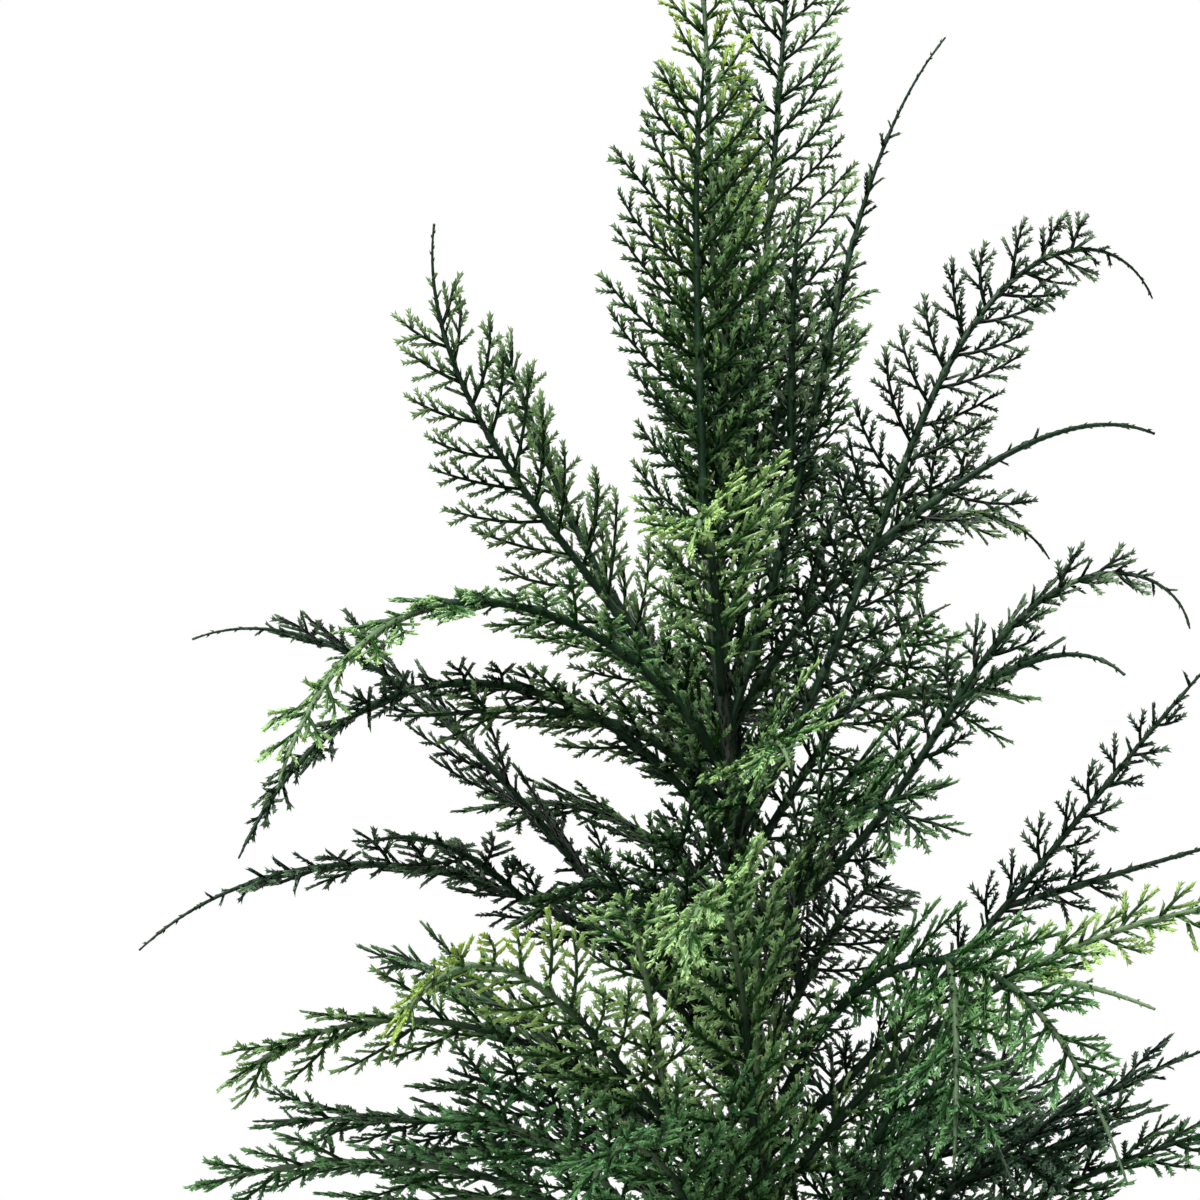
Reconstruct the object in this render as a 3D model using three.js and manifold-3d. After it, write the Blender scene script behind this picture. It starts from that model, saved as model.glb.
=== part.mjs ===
// An artificial cypress in a plain pot. A slender trunk leans a little as it
// rises, boughs arch out of it, and each carries one flat spray: a stem with
// forks and toothed blades, each blade the outline of one fern-like branchlet.
// Millimetres, +Z up. The front faces -Y and the origin is the middle of the
// pot's flat underside.

import * as THREE from 'three';
import Module from 'manifold-3d';

const wasm = await Module();
wasm.setup();

// ---- sizes, in millimetres and degrees ----

const GAP = 0.3; // between two pieces that touch

const POT = {
  height: 150, footRadius: 62, topRadius: 80, wall: 3.5, floor: 4,
  rimHeight: 22, rimOut: 4, edge: 1, chamfer: 3, sides: 32,
};
const FILL = { top: 134, dome: 4, shoulder: 0.55, clear: 1, sides: 24 };
const TRUNK = {
  foot: FILL.top + FILL.dome + GAP, top: 885, footRadius: 8, tipRadius: 3,
  flare: 5, flareHeight: 18, lean: -42, leanPower: 2.2, sides: 12, rings: 14,
  ringPower: 1.6, // rings lie closer together towards the foot
};
const LIMB = {
  footRadius: 2.7, tipRadius: 1.4, whipRadius: 0.6, point: 6, boughSides: 6,
  massSides: 3, slim: 1.3, // a three-sided stem is this much wider, to hold as much
};
const SEED = { first: 101, step: 37 }; // of each spray's chances
const STEP = { fine: 6, bough: 20, mass: 52 }; // along a limb, between rings
const ROOT_STEP = 0.05; // in which a limb's foot is moved out of the trunk

// A blade's outline as [along, across] parts of its length: a lozenge with one
// tooth, and the hub where it is thickest.
const BLADE = {
  length: 58, shortest: 0.3, swell: [0.2, 0.94], pitch: 25, first: 32, clearOfRoot: 12, thick: 0.02, hub: 0.36,
  angle: 50, angleSpread: 10, tiltSpread: 26, ending: 0.36, endingBack: 4,
  outline: [[-0.04, 0], [0.38, -0.22], [1, 0], [0.7, 0.17], [0.52, 0.08], [0.25, 0.21]],
};
const FORK = {
  spacing: 0.19, splay: 34, share: 0.55, extra: 20, hurry: 0.75, whip: 0.4, clear: 9, first: 24,
};
// The step between sampled points, the distances kept, and how many cells lie across the space.
const SPACE = { grain: 3, limbs: 6, blades: 4.6, trunk: 3, across: 1000 };

// Every spray, from the top down. Its limb leaves the trunk at a height and an
// azimuth (0 is +X, 90 the back), starts at the angle lift above level, and
// bends by ease evenly and by droop mostly near its tip. Roll turns the flat of
// the spray about the limb: 0 lies level and 90 stands on edge. Bare is the
// length of bough before the foliage and whip the bare tip beyond it. Forks says
// how many, less than none where the first is on the other side, and from where
// along the limb that one leaves. Width scales the blades.
const COLUMNS = ['name', 'height', 'azimuth', 'lift', 'ease', 'droop', 'length',
  'sweep', 'roll', 'bare', 'whip', 'forks', 'from', 'width', 'tint'];
const ROWS = [
  ['leader_a', 885, 180, 88, 0, 7, 231, 0, 80, 0, 0, 0, 0.3, 1.15, 2],
  ['leader_b', 743, 89, 62, 17.5, 3, 490, -27, 24, 0, 0, 1, 0.3, 1.25, 2],
  ['leader_c', 757, 100, 72, 26, -26, 430, 1, 15, 0, 0, 1, 0.3, 0.85, 3],
  ['high_right_a', 797, 20, 70, 19, -40, 375, -7, 20, 0, 85, 1, 0.3, 0.2, 1],
  ['high_right_b', 745, 356, 59, 35, -157, 428, 44, 70, 55, 55, -1, 0.38, 0.8, 1],
  ['high_right_c', 695, 349, 33, 73, -194, 317, -10, 50, 55, 40, -1, 0.5, 0.55, 1],
  ['high_right_d', 795, 41, 54, -37, -75, 267, -10, 30, 0, 35, 1, 0.3, 0.65, 2],
  ['high_left_a', 783, 181, 55, -14, 61, 315, 43, 75, 0, 45, 0, 0.3, 0.9, 2],
  ['high_left_b', 772, 200, 62, -125, 10, 366, 50, 15, 0, 20, 0, 0.6, 0.6, 4],
  ['high_left_c', 718, 189, 70, -139, 23, 380, 57, 30, 55, 30, 0, 0.45, 0.42, 1],
  ['high_left_d', 635, 180, 45, 16, -86, 369, 8, 15, 0, 55, 0, 0.3, 1.1, 1],
  ['high_left_e', 742, 206, 66, -115, 54, 215, -5, 20, 0, 35, 0, 0.3, 0.8, 2],
  ['high_left_f', 695, 160, 58, -68, -14, 170, 0, 20, 0, 15, 0, 0.3, 0.9, 2],
  ['mid_left_a', 602, 184, 63, -89, -13, 383, 32, 20, 60, 65, 1, 0.45, 0.65, 1],
  ['mid_left_b', 545, 220, 42, 10, -102, 305, 12, 40, 0, 0, 1, 0.3, 0.75, 4],
  ['mid_left_c', 520, 191, 67, -77, -25, 321, 1, 35, 0, 0, -1, 0.4, 1.0, 3],
  ['mid_left_d', 496, 172, 63, -96, 33, 303, 8, 30, 0, 20, 2, 0.3, 1.1, 2],
  ['mid_left_e', 437, 189, 72, -93, 7, 342, -4, 30, 60, 0, 2, 0.3, 1, 3],
  ['mid_right_a', 585, 5, 42, 16, -13, 352, 0, 90, 60, 50, -1, 0.5, 0.35, 1],
  ['mid_right_b', 558, 332, 55, -40, -8, 300, 0, 60, 0, 0, -1, 0.62, 0.5, 4],
  ['mid_right_c', 585, 311, 71, -144, 31, 398, -28, 40, 60, 60, -1, 0.5, 0.75, 3],
  ['mid_right_d', 455, 350, 66, -55, 10, 305, 0, 20, 60, 40, 2, 0.3, 1, 1],
  ['mid_right_e', 405, 338, 74, -70, 14, 325, 0, 40, 0, 20, 2, 0.3, 1, 2],
  ['front_a', 815, 262, 60, -5, -110, 150, 0, 40, 0, 0, 0, 0.3, 1, 4],
  ['front_b', 480, 256, 64, 25, -150, 350, 0, 50, 60, 0, 1, 0.3, 1, 4],
  ['front_c', 745, 278, 45, -45, -40, 160, 0, 40, 0, 20, 0, 0.3, 1, 4],
  ['front_d', 460, 240, 48, 15, -110, 262, 4, 40, 0, 0, 1, 0.3, 1, 3],
  ['front_e', 455, 300, 66, -48, -74, 345, -15, 40, 0, 45, 1, 0.3, 1, 2],
  ['front_f', 655, 300, 58, -10, -90, 190, 0, 40, 0, 0, 1, 0.3, 1, 2],
  ['front_g', 634, 212, 60, -20, -80, 160, 0, 40, 0, 0, 1, 0.3, 1, 2],
  ['back_a', 825, 52, 72, -5, -50, 250, 0, 20, 0, 30, 1, 0.3, 1, 2],
  ['back_b', 800, 152, 38, 48, -24, 243, 1, 60, 0, 10, 0, 0.55, 0.5, 2],
  ['back_c', 727, 63, 32, 5, -28, 280, -7, 40, 0, 30, -1, 0.55, 1, 3],
  ['back_d', 672, 102, 48, -5, -70, 315, 0, 30, 60, 20, 2, 0.3, 1, 1],
  ['back_e', 625, 66, 34, -5, -60, 232, 0, 40, 0, 30, 1, 0.3, 1, 2],
  ['back_f', 545, 100, 46, -10, -60, 330, 0, 20, 0, 30, 2, 0.3, 1, 1],
  ['back_g', 514, 138, 42, -10, -50, 330, 0, 30, 0, 20, -1, 0.3, 1, 2],
  ['back_h', 450, 60, 46, -10, -50, 320, 0, 30, 0, 20, 2, 0.3, 1, 3],
  ['low_a', 365, 268, 42, -10, -60, 310, 0, 30, 0, 20, 2, 0.3, 1, 2],
  ['low_b', 345, 12, 40, -10, -50, 325, 0, 20, 60, 30, 2, 0.3, 1, 1],
  ['low_c', 325, 160, 38, -10, -60, 325, 0, 30, 0, 20, 2, 0.3, 1, 1],
  ['low_d', 305, 222, 34, -10, -55, 310, 0, 30, 0, 20, 2, 0.3, 1, 3],
  ['low_e', 285, 88, 34, -10, -50, 310, 0, 25, 0, 30, 2, 0.3, 1, 2],
  ['low_f', 265, 312, 30, -10, -50, 300, 0, 30, 0, 20, 2, 0.3, 1, 2],
  ['low_g', 245, 35, 28, -10, -45, 285, 0, 25, 0, 20, 2, 0.3, 1, 1],
  ['low_h', 225, 185, 26, -10, -45, 290, 0, 25, 0, 20, 2, 0.3, 1, 2],
];
const SPRAYS = ROWS.map((row) => Object.fromEntries(COLUMNS.map((key, i) => [key, row[i]])));

// ---- colours ----

const finish = (color, roughness) => new THREE.MeshStandardMaterial({ color, roughness, metalness: 0 });
const FINISH = {
  pot: finish(0x2b2b2a, 0.55), fill: finish(0x4a4037, 0.95), bark: finish(0x243024, 0.8),
  foliage: [0x2b4a2c, 0x385c36, 0x4d7340, 0x76964f].map((green) => finish(green, 0.7)), // dark to fresh
};

// ---- small maths ----

const radians = THREE.MathUtils.degToRad;

// A seeded stream of numbers from 0 to 1.
function stream(seed) {
  let state = seed;
  return () => {
    state = (state * 1664525 + 1013904223) % 4294967296;
    return state / 4294967296;
  };
}

function mix(a, b, t) {
  return a + (b - a) * t;
}

// The unit direction at an elevation and an azimuth, with its two normals:
// side is level, up completes the set.
function frameAt(elevation, azimuth) {
  const [e, a] = [radians(elevation), radians(azimuth)];
  const along = new THREE.Vector3(Math.cos(e) * Math.cos(a), Math.cos(e) * Math.sin(a), Math.sin(e));
  const side = new THREE.Vector3(-Math.sin(a), Math.cos(a), 0);
  const up = new THREE.Vector3().crossVectors(along, side);
  return { along, side, up };
}

// ---- closed meshes ----

// A closed mesh from points and triangles.
function meshOf(points, triangles) {
  const geometry = new THREE.BufferGeometry();
  geometry.setAttribute('position', new THREE.Float32BufferAttribute(points.flatMap((p) => p.toArray()), 3));
  geometry.setIndex(triangles.flat());
  return geometry;
}

function cornersOf(ring, sides) {
  return Array.from({ length: sides }, (_, k) => {
    const turn = (2 * Math.PI * k) / sides;
    return ring.centre.clone()
      .addScaledVector(ring.side, ring.radius * Math.cos(turn))
      .addScaledVector(ring.up, ring.radius * Math.sin(turn));
  });
}

// A tube over rings of { centre, side, up, radius }, closed by flat ends, or by
// a point beyond the last ring where one is given.
function tube(rings, sides, point) {
  const points = [];
  const triangles = [];
  for (const ring of rings) points.push(...cornersOf(ring, sides));
  for (let r = 0; r + 1 < rings.length; r += 1) {
    for (let k = 0; k < sides; k += 1) {
      const [a, b] = [r * sides + k, r * sides + ((k + 1) % sides)];
      triangles.push([a, b, b + sides], [a, b + sides, a + sides]);
    }
  }
  const last = (rings.length - 1) * sides;
  for (let k = 1; k + 1 < sides; k += 1) triangles.push([0, k + 1, k]);
  if (point) {
    points.push(point);
    for (let k = 0; k < sides; k += 1) triangles.push([last + k, last + ((k + 1) % sides), points.length - 1]);
  } else {
    for (let k = 1; k + 1 < sides; k += 1) triangles.push([last, last + k, last + k + 1]);
  }
  return meshOf(points, triangles);
}

// The joined solid of closed meshes, the largest body only.
function fuse(geometries) {
  const solids = geometries.map((geometry) => new wasm.Manifold(new wasm.Mesh({
    numProp: 3,
    vertProperties: new Float32Array(geometry.attributes.position.array),
    triVerts: new Uint32Array(geometry.index.array),
  })));
  const joined = solids.reduce((whole, solid) => whole.add(solid));
  const bodies = joined.decompose();
  bodies.sort((a, b) => b.volume() - a.volume());
  const { vertProperties, triVerts } = bodies[0].getMesh();
  const geometry = new THREE.BufferGeometry();
  geometry.setAttribute('position', new THREE.Float32BufferAttribute(vertProperties, 3));
  geometry.setIndex([...triVerts]);
  return geometry;
}

// ---- pot, fill and trunk ----

function potRadius(z) {
  return mix(POT.footRadius, POT.topRadius, z / POT.height);
}

function turned(profile, sides) {
  const geometry = new THREE.LatheGeometry(profile.map(([r, z]) => new THREE.Vector2(r, z)), sides);
  return geometry.rotateX(Math.PI / 2);
}

function pot() {
  const { height, wall, floor, rimHeight, rimOut, edge, chamfer } = POT;
  const rimFoot = height - rimHeight;
  return turned([
    [0, 0], [potRadius(0) - chamfer, 0], [potRadius(chamfer), chamfer],
    [potRadius(rimFoot), rimFoot], [potRadius(rimFoot) + rimOut, rimFoot + edge],
    [potRadius(height) + rimOut, height - edge], [potRadius(height) + rimOut - edge, height],
    [potRadius(height) - wall, height], [potRadius(floor) - wall, floor], [0, floor],
  ], POT.sides);
}

function fill() {
  const foot = POT.floor + GAP;
  const inner = (z) => potRadius(z) - POT.wall - GAP - FILL.clear;
  return turned([
    [0, foot], [inner(foot), foot], [inner(FILL.top), FILL.top],
    [inner(FILL.top) * FILL.shoulder, FILL.top + FILL.dome], [0, FILL.top + FILL.dome],
  ], FILL.sides);
}

function trunkAt(z) {
  const rise = Math.max(0, (z - TRUNK.foot) / (TRUNK.top - TRUNK.foot));
  return new THREE.Vector3(TRUNK.lean * rise ** TRUNK.leanPower, 0, z);
}

function trunkRadius(z) {
  const rise = (z - TRUNK.foot) / (TRUNK.top - TRUNK.foot);
  return mix(TRUNK.footRadius, TRUNK.tipRadius, rise)
    + TRUNK.flare * Math.exp(-(z - TRUNK.foot) / TRUNK.flareHeight);
}

// The trunk, with level rings close together in the flare, and its tip cut
// square to the way that it leans, for the leader that grows on.
function trunk() {
  const rings = [];
  const level = { side: new THREE.Vector3(1, 0, 0), up: new THREE.Vector3(0, 1, 0) };
  for (let k = 0; k < TRUNK.rings; k += 1) {
    const z = mix(TRUNK.foot, TRUNK.top, (k / TRUNK.rings) ** TRUNK.ringPower);
    rings.push({ centre: trunkAt(z), radius: trunkRadius(z), ...level });
  }
  const { side, up } = frameAt(SPRAYS[0].lift, SPRAYS[0].azimuth);
  rings.push({ centre: trunkAt(TRUNK.top), radius: TRUNK.tipRadius, side: up, up: side.negate() });
  return tube(rings, TRUNK.sides);
}

// ---- limbs ----

// The elevation and azimuth of a spray's limb at t from 0 to 1, turned by a
// fork's angle in the plane of the spray.
function headingAt(spray, t, turn) {
  const roll = radians(spray.roll);
  return {
    elevation: spray.lift + spray.ease * t + spray.droop * t ** 4 + turn * Math.sin(roll),
    azimuth: spray.azimuth + spray.sweep * t + turn * Math.cos(roll),
  };
}

// One shoot: points with their frames every few millimetres, from a start
// point, for a spray's t from one value to another.
function shoot(spray, start, from, to, turn, length) {
  const count = Math.ceil(length / STEP.fine);
  const step = length / count;
  const centre = start.clone();
  const marks = [];
  for (let k = 0; k <= count; k += 1) {
    const { elevation, azimuth } = headingAt(spray, mix(from, to, k / count), turn);
    const frame = frameAt(elevation, azimuth);
    marks.push({ centre: centre.clone(), at: k * step, ...frame });
    centre.addScaledVector(frame.along, step);
  }
  return { marks, step, length };
}

// The mark at a distance along a shoot.
function markAt({ marks, step }, at) {
  const k = Math.min(marks.length - 2, Math.max(0, Math.floor(at / step)));
  const { centre, along, side, up } = marks[k];
  return { centre: centre.clone().addScaledVector(along, at - k * step), along, side, up };
}

// How far a point is outside the trunk.
function outsideTrunk({ x, y, z }) {
  const axis = trunkAt(Math.min(z, TRUNK.top));
  return z > TRUNK.top ? z - TRUNK.top : Math.hypot(x - axis.x, y - axis.y) - trunkRadius(z);
}

// How far out a limb starts, so that its square end just clears the trunk.
function rootAt(path, radius, sides) {
  let at = radius;
  for (let nearest = 0; nearest < GAP; at += ROOT_STEP) {
    const corners = cornersOf({ ...markAt(path, at), radius }, sides);
    const edges = corners.map((corner, k) => corner.clone().lerp(corners[(k + 1) % sides], 0.5));
    nearest = Math.min(...[...corners, ...edges].map(outsideTrunk));
  }
  return at - ROOT_STEP;
}

// A limb's radius at a distance, from its foot to where its whip starts.
function limbRadius(spray, at) {
  return mix(LIMB.footRadius, LIMB.tipRadius, Math.min(1, at / (spray.length - spray.whip)));
}

function ringsBetween(path, from, to, step, radiusAt) {
  const count = Math.max(1, Math.round((to - from) / step));
  return Array.from({ length: count + 1 }, (_, k) => {
    const at = mix(from, to, k / count);
    return { ...markAt(path, at), radius: radiusAt(at) };
  });
}

// A spray's main limb, where its solid starts and where its foliage does.
function layOut(spray) {
  const main = shoot(spray, trunkAt(spray.height), 0, 1, 0, spray.length);
  if (spray.height === TRUNK.top) return { spray, main, root: GAP, leafy: GAP, forks: [] };
  const sides = spray.bare ? LIMB.boughSides : LIMB.massSides;
  const root = rootAt(main, LIMB.footRadius * (spray.bare ? 1 : LIMB.slim), sides);
  return { spray, main, root, leafy: spray.bare ? spray.bare + GAP : root, forks: [] };
}

// Forks on alternate sides of a spray, where they clear every other limb.
function addForks(plan, space) {
  const { spray, main } = plan;
  for (let k = 0; k < Math.abs(spray.forks); k += 1) {
    const t = spray.from + FORK.spacing * k;
    const turn = (k % 2 ? -1 : 1) * Math.sign(spray.forks) * FORK.splay;
    const length = spray.length * (1 - t) * FORK.share + FORK.extra;
    const start = markAt(main, t * spray.length).centre;
    const path = shoot(spray, start, t, mix(t, 1, FORK.hurry), turn, length);
    if (path.marks.every(({ centre }) => space.isFree(centre, spray.name, FORK.clear))) {
      const owner = `${spray.name} fork ${k}`;
      plan.forks.push({ owner, path, t });
      claimPath(space, path, owner);
    }
  }
}

// ---- own space ----

// Points already taken, each by a shoot, in cells that make near ones quick to
// find. A shoot may come near its own points and no others.
class Space {
  constructor(cell) {
    this.cell = cell;
    this.cells = new Map();
  }

  key(...home) {
    return home.reduce((key, value) => key * SPACE.across + value + SPACE.across / 2, 0);
  }

  home({ x, y, z }) {
    return [x, y, z].map((value) => Math.floor(value / this.cell));
  }

  claim(point, owner) {
    const key = this.key(...this.home(point));
    if (!this.cells.has(key)) this.cells.set(key, []);
    this.cells.get(key).push({ point, owner });
  }

  isFree(point, owner, distance) {
    const [x, y, z] = this.home(point);
    for (let i = -1; i <= 1; i += 1) {
      for (let j = -1; j <= 1; j += 1) {
        for (let k = -1; k <= 1; k += 1) {
          const taken = this.cells.get(this.key(x + i, y + j, z + k)) ?? [];
          if (taken.some((other) => other.owner !== owner && other.point.distanceTo(point) < distance)) {
            return false;
          }
        }
      }
    }
    return true;
  }
}

function claimPath(space, path, owner) {
  for (let at = 0; at <= path.length; at += SPACE.grain) space.claim(markAt(path, at).centre, owner);
}

// ---- blades ----

function bladePoint(blade, [x, y]) {
  return blade.centre.clone()
    .addScaledVector(blade.along, x * blade.length)
    .addScaledVector(blade.across, y * blade.length);
}

// A thin toothed solid: the outline, with a hub above it and one below.
function bladeMesh(blade) {
  const rim = BLADE.outline.map((corner) => bladePoint(blade, corner));
  const lift = blade.normal.clone().multiplyScalar(BLADE.thick * blade.length);
  const hub = bladePoint(blade, [BLADE.hub, 0]);
  const count = rim.length;
  const triangles = [];
  for (let k = 0; k < count; k += 1) {
    const next = (k + 1) % count;
    triangles.push([k, next, count], [next, k, count + 1]);
  }
  return meshOf([...rim, hub.clone().add(lift), hub.clone().sub(lift)], triangles);
}

// Points all over a blade: rows from its hub line out to each edge.
function samplesOf(blade) {
  const samples = [];
  const count = BLADE.outline.length;
  for (let k = 0; k < count; k += 1) {
    const [x0, y0] = BLADE.outline[k];
    const [x1, y1] = BLADE.outline[(k + 1) % count];
    const steps = Math.ceil((Math.hypot(x1 - x0, y1 - y0) * blade.length) / SPACE.grain);
    for (let i = 0; i < steps; i += 1) {
      const [x, y] = [mix(x0, x1, i / steps), mix(y0, y1, i / steps)];
      const rows = Math.ceil((Math.abs(y) * blade.length) / SPACE.grain);
      for (let j = 0; j <= rows; j += 1) samples.push(bladePoint(blade, [x, rows ? (y * j) / rows : 0]));
    }
  }
  return samples;
}

// How long a blade is for its place u along the leafy part of a shoot: long
// before the middle, and short by the tip, as a stretch of half a wave.
function bladeLength(spray, u) {
  const swell = Math.sin(Math.PI * mix(...BLADE.swell, u));
  return BLADE.length * spray.width * mix(BLADE.shortest, 1, swell);
}

function bladeOn(spray, mark, length, turn, tilt) {
  const roll = radians(spray.roll);
  const flat = mark.side.clone().multiplyScalar(Math.cos(roll)).addScaledVector(mark.up, Math.sin(roll));
  const face = new THREE.Vector3().crossVectors(mark.along, flat);
  const along = mark.along.clone().applyAxisAngle(face, radians(turn));
  const normal = face.applyAxisAngle(along, radians(tilt)).multiplyScalar(turn < 0 ? -1 : 1);
  return { centre: mark.centre, along, normal, across: new THREE.Vector3().crossVectors(normal, along), length };
}

// Alternate blades along a shoot, and one that ends it where it has no whip.
function bladesOn(spray, path, from, whip, random) {
  const end = path.length - whip;
  const blades = [];
  for (let k = 0; from + k * BLADE.pitch < end - BLADE.pitch / 2; k += 1) {
    const at = from + k * BLADE.pitch;
    const length = bladeLength(spray, (at - from) / (end - from)) * mix(0.9, 1.08, random());
    const turn = (k % 2 ? -1 : 1) * (BLADE.angle + BLADE.angleSpread * (random() - 0.5));
    blades.push(bladeOn(spray, markAt(path, at), length, turn, BLADE.tiltSpread * (random() - 0.5)));
  }
  if (!whip) blades.push(bladeOn(spray, markAt(path, end - BLADE.endingBack), BLADE.length * BLADE.ending, 0, 0));
  return blades;
}

// ---- nodes ----

function boughMesh(plan) {
  const rings = ringsBetween(plan.main, plan.root, plan.spray.bare, STEP.bough,
    (at) => limbRadius(plan.spray, at));
  return tube(rings, LIMB.boughSides);
}

// One stem: rings to where it ends, then its point.
function stemMesh(path, from, radiusAt) {
  const rings = ringsBetween(path, from, path.length - LIMB.point, STEP.mass, radiusAt);
  return tube(rings, LIMB.massSides, markAt(path, path.length).centre);
}

// A spray's shoots: its main limb beyond the bough, then its forks.
function shootsOf({ spray, main, leafy, forks }) {
  const thin = (at) => (at > spray.length - spray.whip ? LIMB.whipRadius : limbRadius(spray, at));
  const first = Math.max(BLADE.first, leafy + BLADE.clearOfRoot);
  const shoots = [{ owner: spray.name, path: main, stem: leafy, first, whip: spray.whip, radiusAt: thin }];
  for (const { owner, path, t } of forks) {
    const foot = limbRadius(spray, t * spray.length);
    const radiusAt = (at) => mix(foot, LIMB.whipRadius, at / path.length);
    shoots.push({ owner, path, stem: 0, first: FORK.first, whip: spray.whip * FORK.whip, radiusAt });
  }
  return shoots;
}

// The stems of a spray with every blade that keeps clear of the trunk and of
// what other shoots have taken.
function massMesh(plan, seed, limbs, blades) {
  const random = stream(seed);
  const pieces = [];
  for (const { owner, path, stem, first, whip, radiusAt } of shootsOf(plan)) {
    pieces.push(stemMesh(path, stem, (at) => radiusAt(at) * LIMB.slim));
    for (const blade of bladesOn(plan.spray, path, first, whip, random)) {
      const samples = samplesOf(blade);
      const fits = samples.every((point) => outsideTrunk(point) > SPACE.trunk
        && limbs.isFree(point, owner, SPACE.limbs) && blades.isFree(point, owner, SPACE.blades));
      if (fits) {
        pieces.push(bladeMesh(blade));
        samples.forEach((point) => blades.claim(point, owner));
      }
    }
  }
  return fuse(pieces);
}

// ---- the tree ----

const tree = new THREE.Group();

function add(name, geometry, material) {
  const mesh = new THREE.Mesh(geometry, material);
  mesh.name = name;
  tree.add(mesh);
}

const plans = SPRAYS.map(layOut);
const limbs = new Space(Math.max(SPACE.limbs, FORK.clear));
const blades = new Space(SPACE.blades);
plans.forEach(({ main, spray }) => claimPath(limbs, main, spray.name));
plans.forEach((plan) => addForks(plan, limbs));

add('pot', pot(), FINISH.pot);
add('fill', fill(), FINISH.fill);
add('trunk', trunk(), FINISH.bark);
plans.forEach((plan, k) => {
  const { name, bare, tint } = plan.spray;
  if (bare) add(`${name}_bough`, boughMesh(plan), FINISH.bark);
  add(`${name}_spray`, massMesh(plan, SEED.first + SEED.step * k, limbs, blades), FINISH.foliage[tint - 1]);
});

export default tree;
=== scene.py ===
"""A potted artificial cypress: moulded fern-like sprays on sleeved stems, dressed
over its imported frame. Shapes are worked out in millimetres and put into meshes
in metres, +Z up, with the front towards -Y."""

import math

import bpy
import numpy as np
from bpy.props import FloatProperty, FloatVectorProperty, IntProperty, PointerProperty
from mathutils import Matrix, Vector


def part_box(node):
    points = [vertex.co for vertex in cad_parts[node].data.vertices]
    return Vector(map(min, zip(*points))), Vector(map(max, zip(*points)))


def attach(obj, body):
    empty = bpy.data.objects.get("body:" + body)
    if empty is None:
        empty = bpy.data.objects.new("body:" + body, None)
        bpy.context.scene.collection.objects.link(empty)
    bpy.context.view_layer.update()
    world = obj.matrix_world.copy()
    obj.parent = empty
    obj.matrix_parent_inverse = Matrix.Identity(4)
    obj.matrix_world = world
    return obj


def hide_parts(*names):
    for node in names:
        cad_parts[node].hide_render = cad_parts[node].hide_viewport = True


bl_info = {
    "name": "Potted artificial cypress",
    "version": (1, 0, 0),
    "blender": (4, 5, 0),
    "location": "3D View > Sidebar > Cypress",
    "description": "Grows an artificial cypress from its limbs to its scale tips, in a plain pot",
    "category": "Object",
}

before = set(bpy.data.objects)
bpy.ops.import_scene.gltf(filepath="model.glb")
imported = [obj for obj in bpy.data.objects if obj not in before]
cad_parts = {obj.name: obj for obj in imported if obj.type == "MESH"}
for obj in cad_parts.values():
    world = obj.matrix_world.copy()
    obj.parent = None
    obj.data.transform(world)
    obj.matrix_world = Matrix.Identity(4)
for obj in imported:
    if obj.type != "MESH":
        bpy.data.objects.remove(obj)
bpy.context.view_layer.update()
MM = 0.001
LIMIT = 185_000  # triangles in one joined piece
SPIRAL = 2.4  # radians from each scale or twig to the next round a stem


def box_mm(node):
    """The lowest and highest corners of a CAD node, in millimetres."""
    return [np.array(corner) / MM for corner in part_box(node)]


POT_BOX, FILL_BOX, TRUNK_BOX = (box_mm(node) for node in ("pot", "fill", "trunk"))

# ---- the rule by which the tree grows, in millimetres and degrees ----

TRUNK = {"foot": TRUNK_BOX[0][2], "top": 885.0, "foot_radius": 8.0, "tip_radius": 3.0,
         "flare": 5.0, "flare_height": 18.0, "lean": -42.0, "lean_power": 2.2}
LIMB = {"foot_radius": 2.25, "tip_radius": 1.05, "fork_tip": 0.8, "power": 2.0}
STEP = 6.0  # between the points of a shoot
SEAT = 0.3  # from the end of a bough or the trunk to the foot of the stem it carries
SPRAY_FOOT = 6.0  # along a limb with no bare bough, to where its spray starts
BRANCHLET = {"length": 58.0, "shortest": 0.3, "swell": (0.2, 0.94), "first": 32.0, "fork_first": 24.0,
             "clear_of_root": 12.0, "ending": 0.36, "lowest": 14.0, "leader_lowest": 8.0,
             "first_angle": 58, "last_angle": 34, "closing": 8, "end_gap": 3, "ending_gap": 5,
             "ending_angles": (4, -4)}
FORK = {"spacing": 0.19, "splay": 34.0, "share": 0.55, "clear": 9.0,
        "extra": 20.0, "whip": 0.4, "hurry": 0.75}
GRAIN = 3.0  # between the points that a limb claims for itself
ROOM = {"middle": 3.0, "tip": 3.5, "trunk": 3.0}  # that a twig keeps from other limbs, and from the trunk

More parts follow.
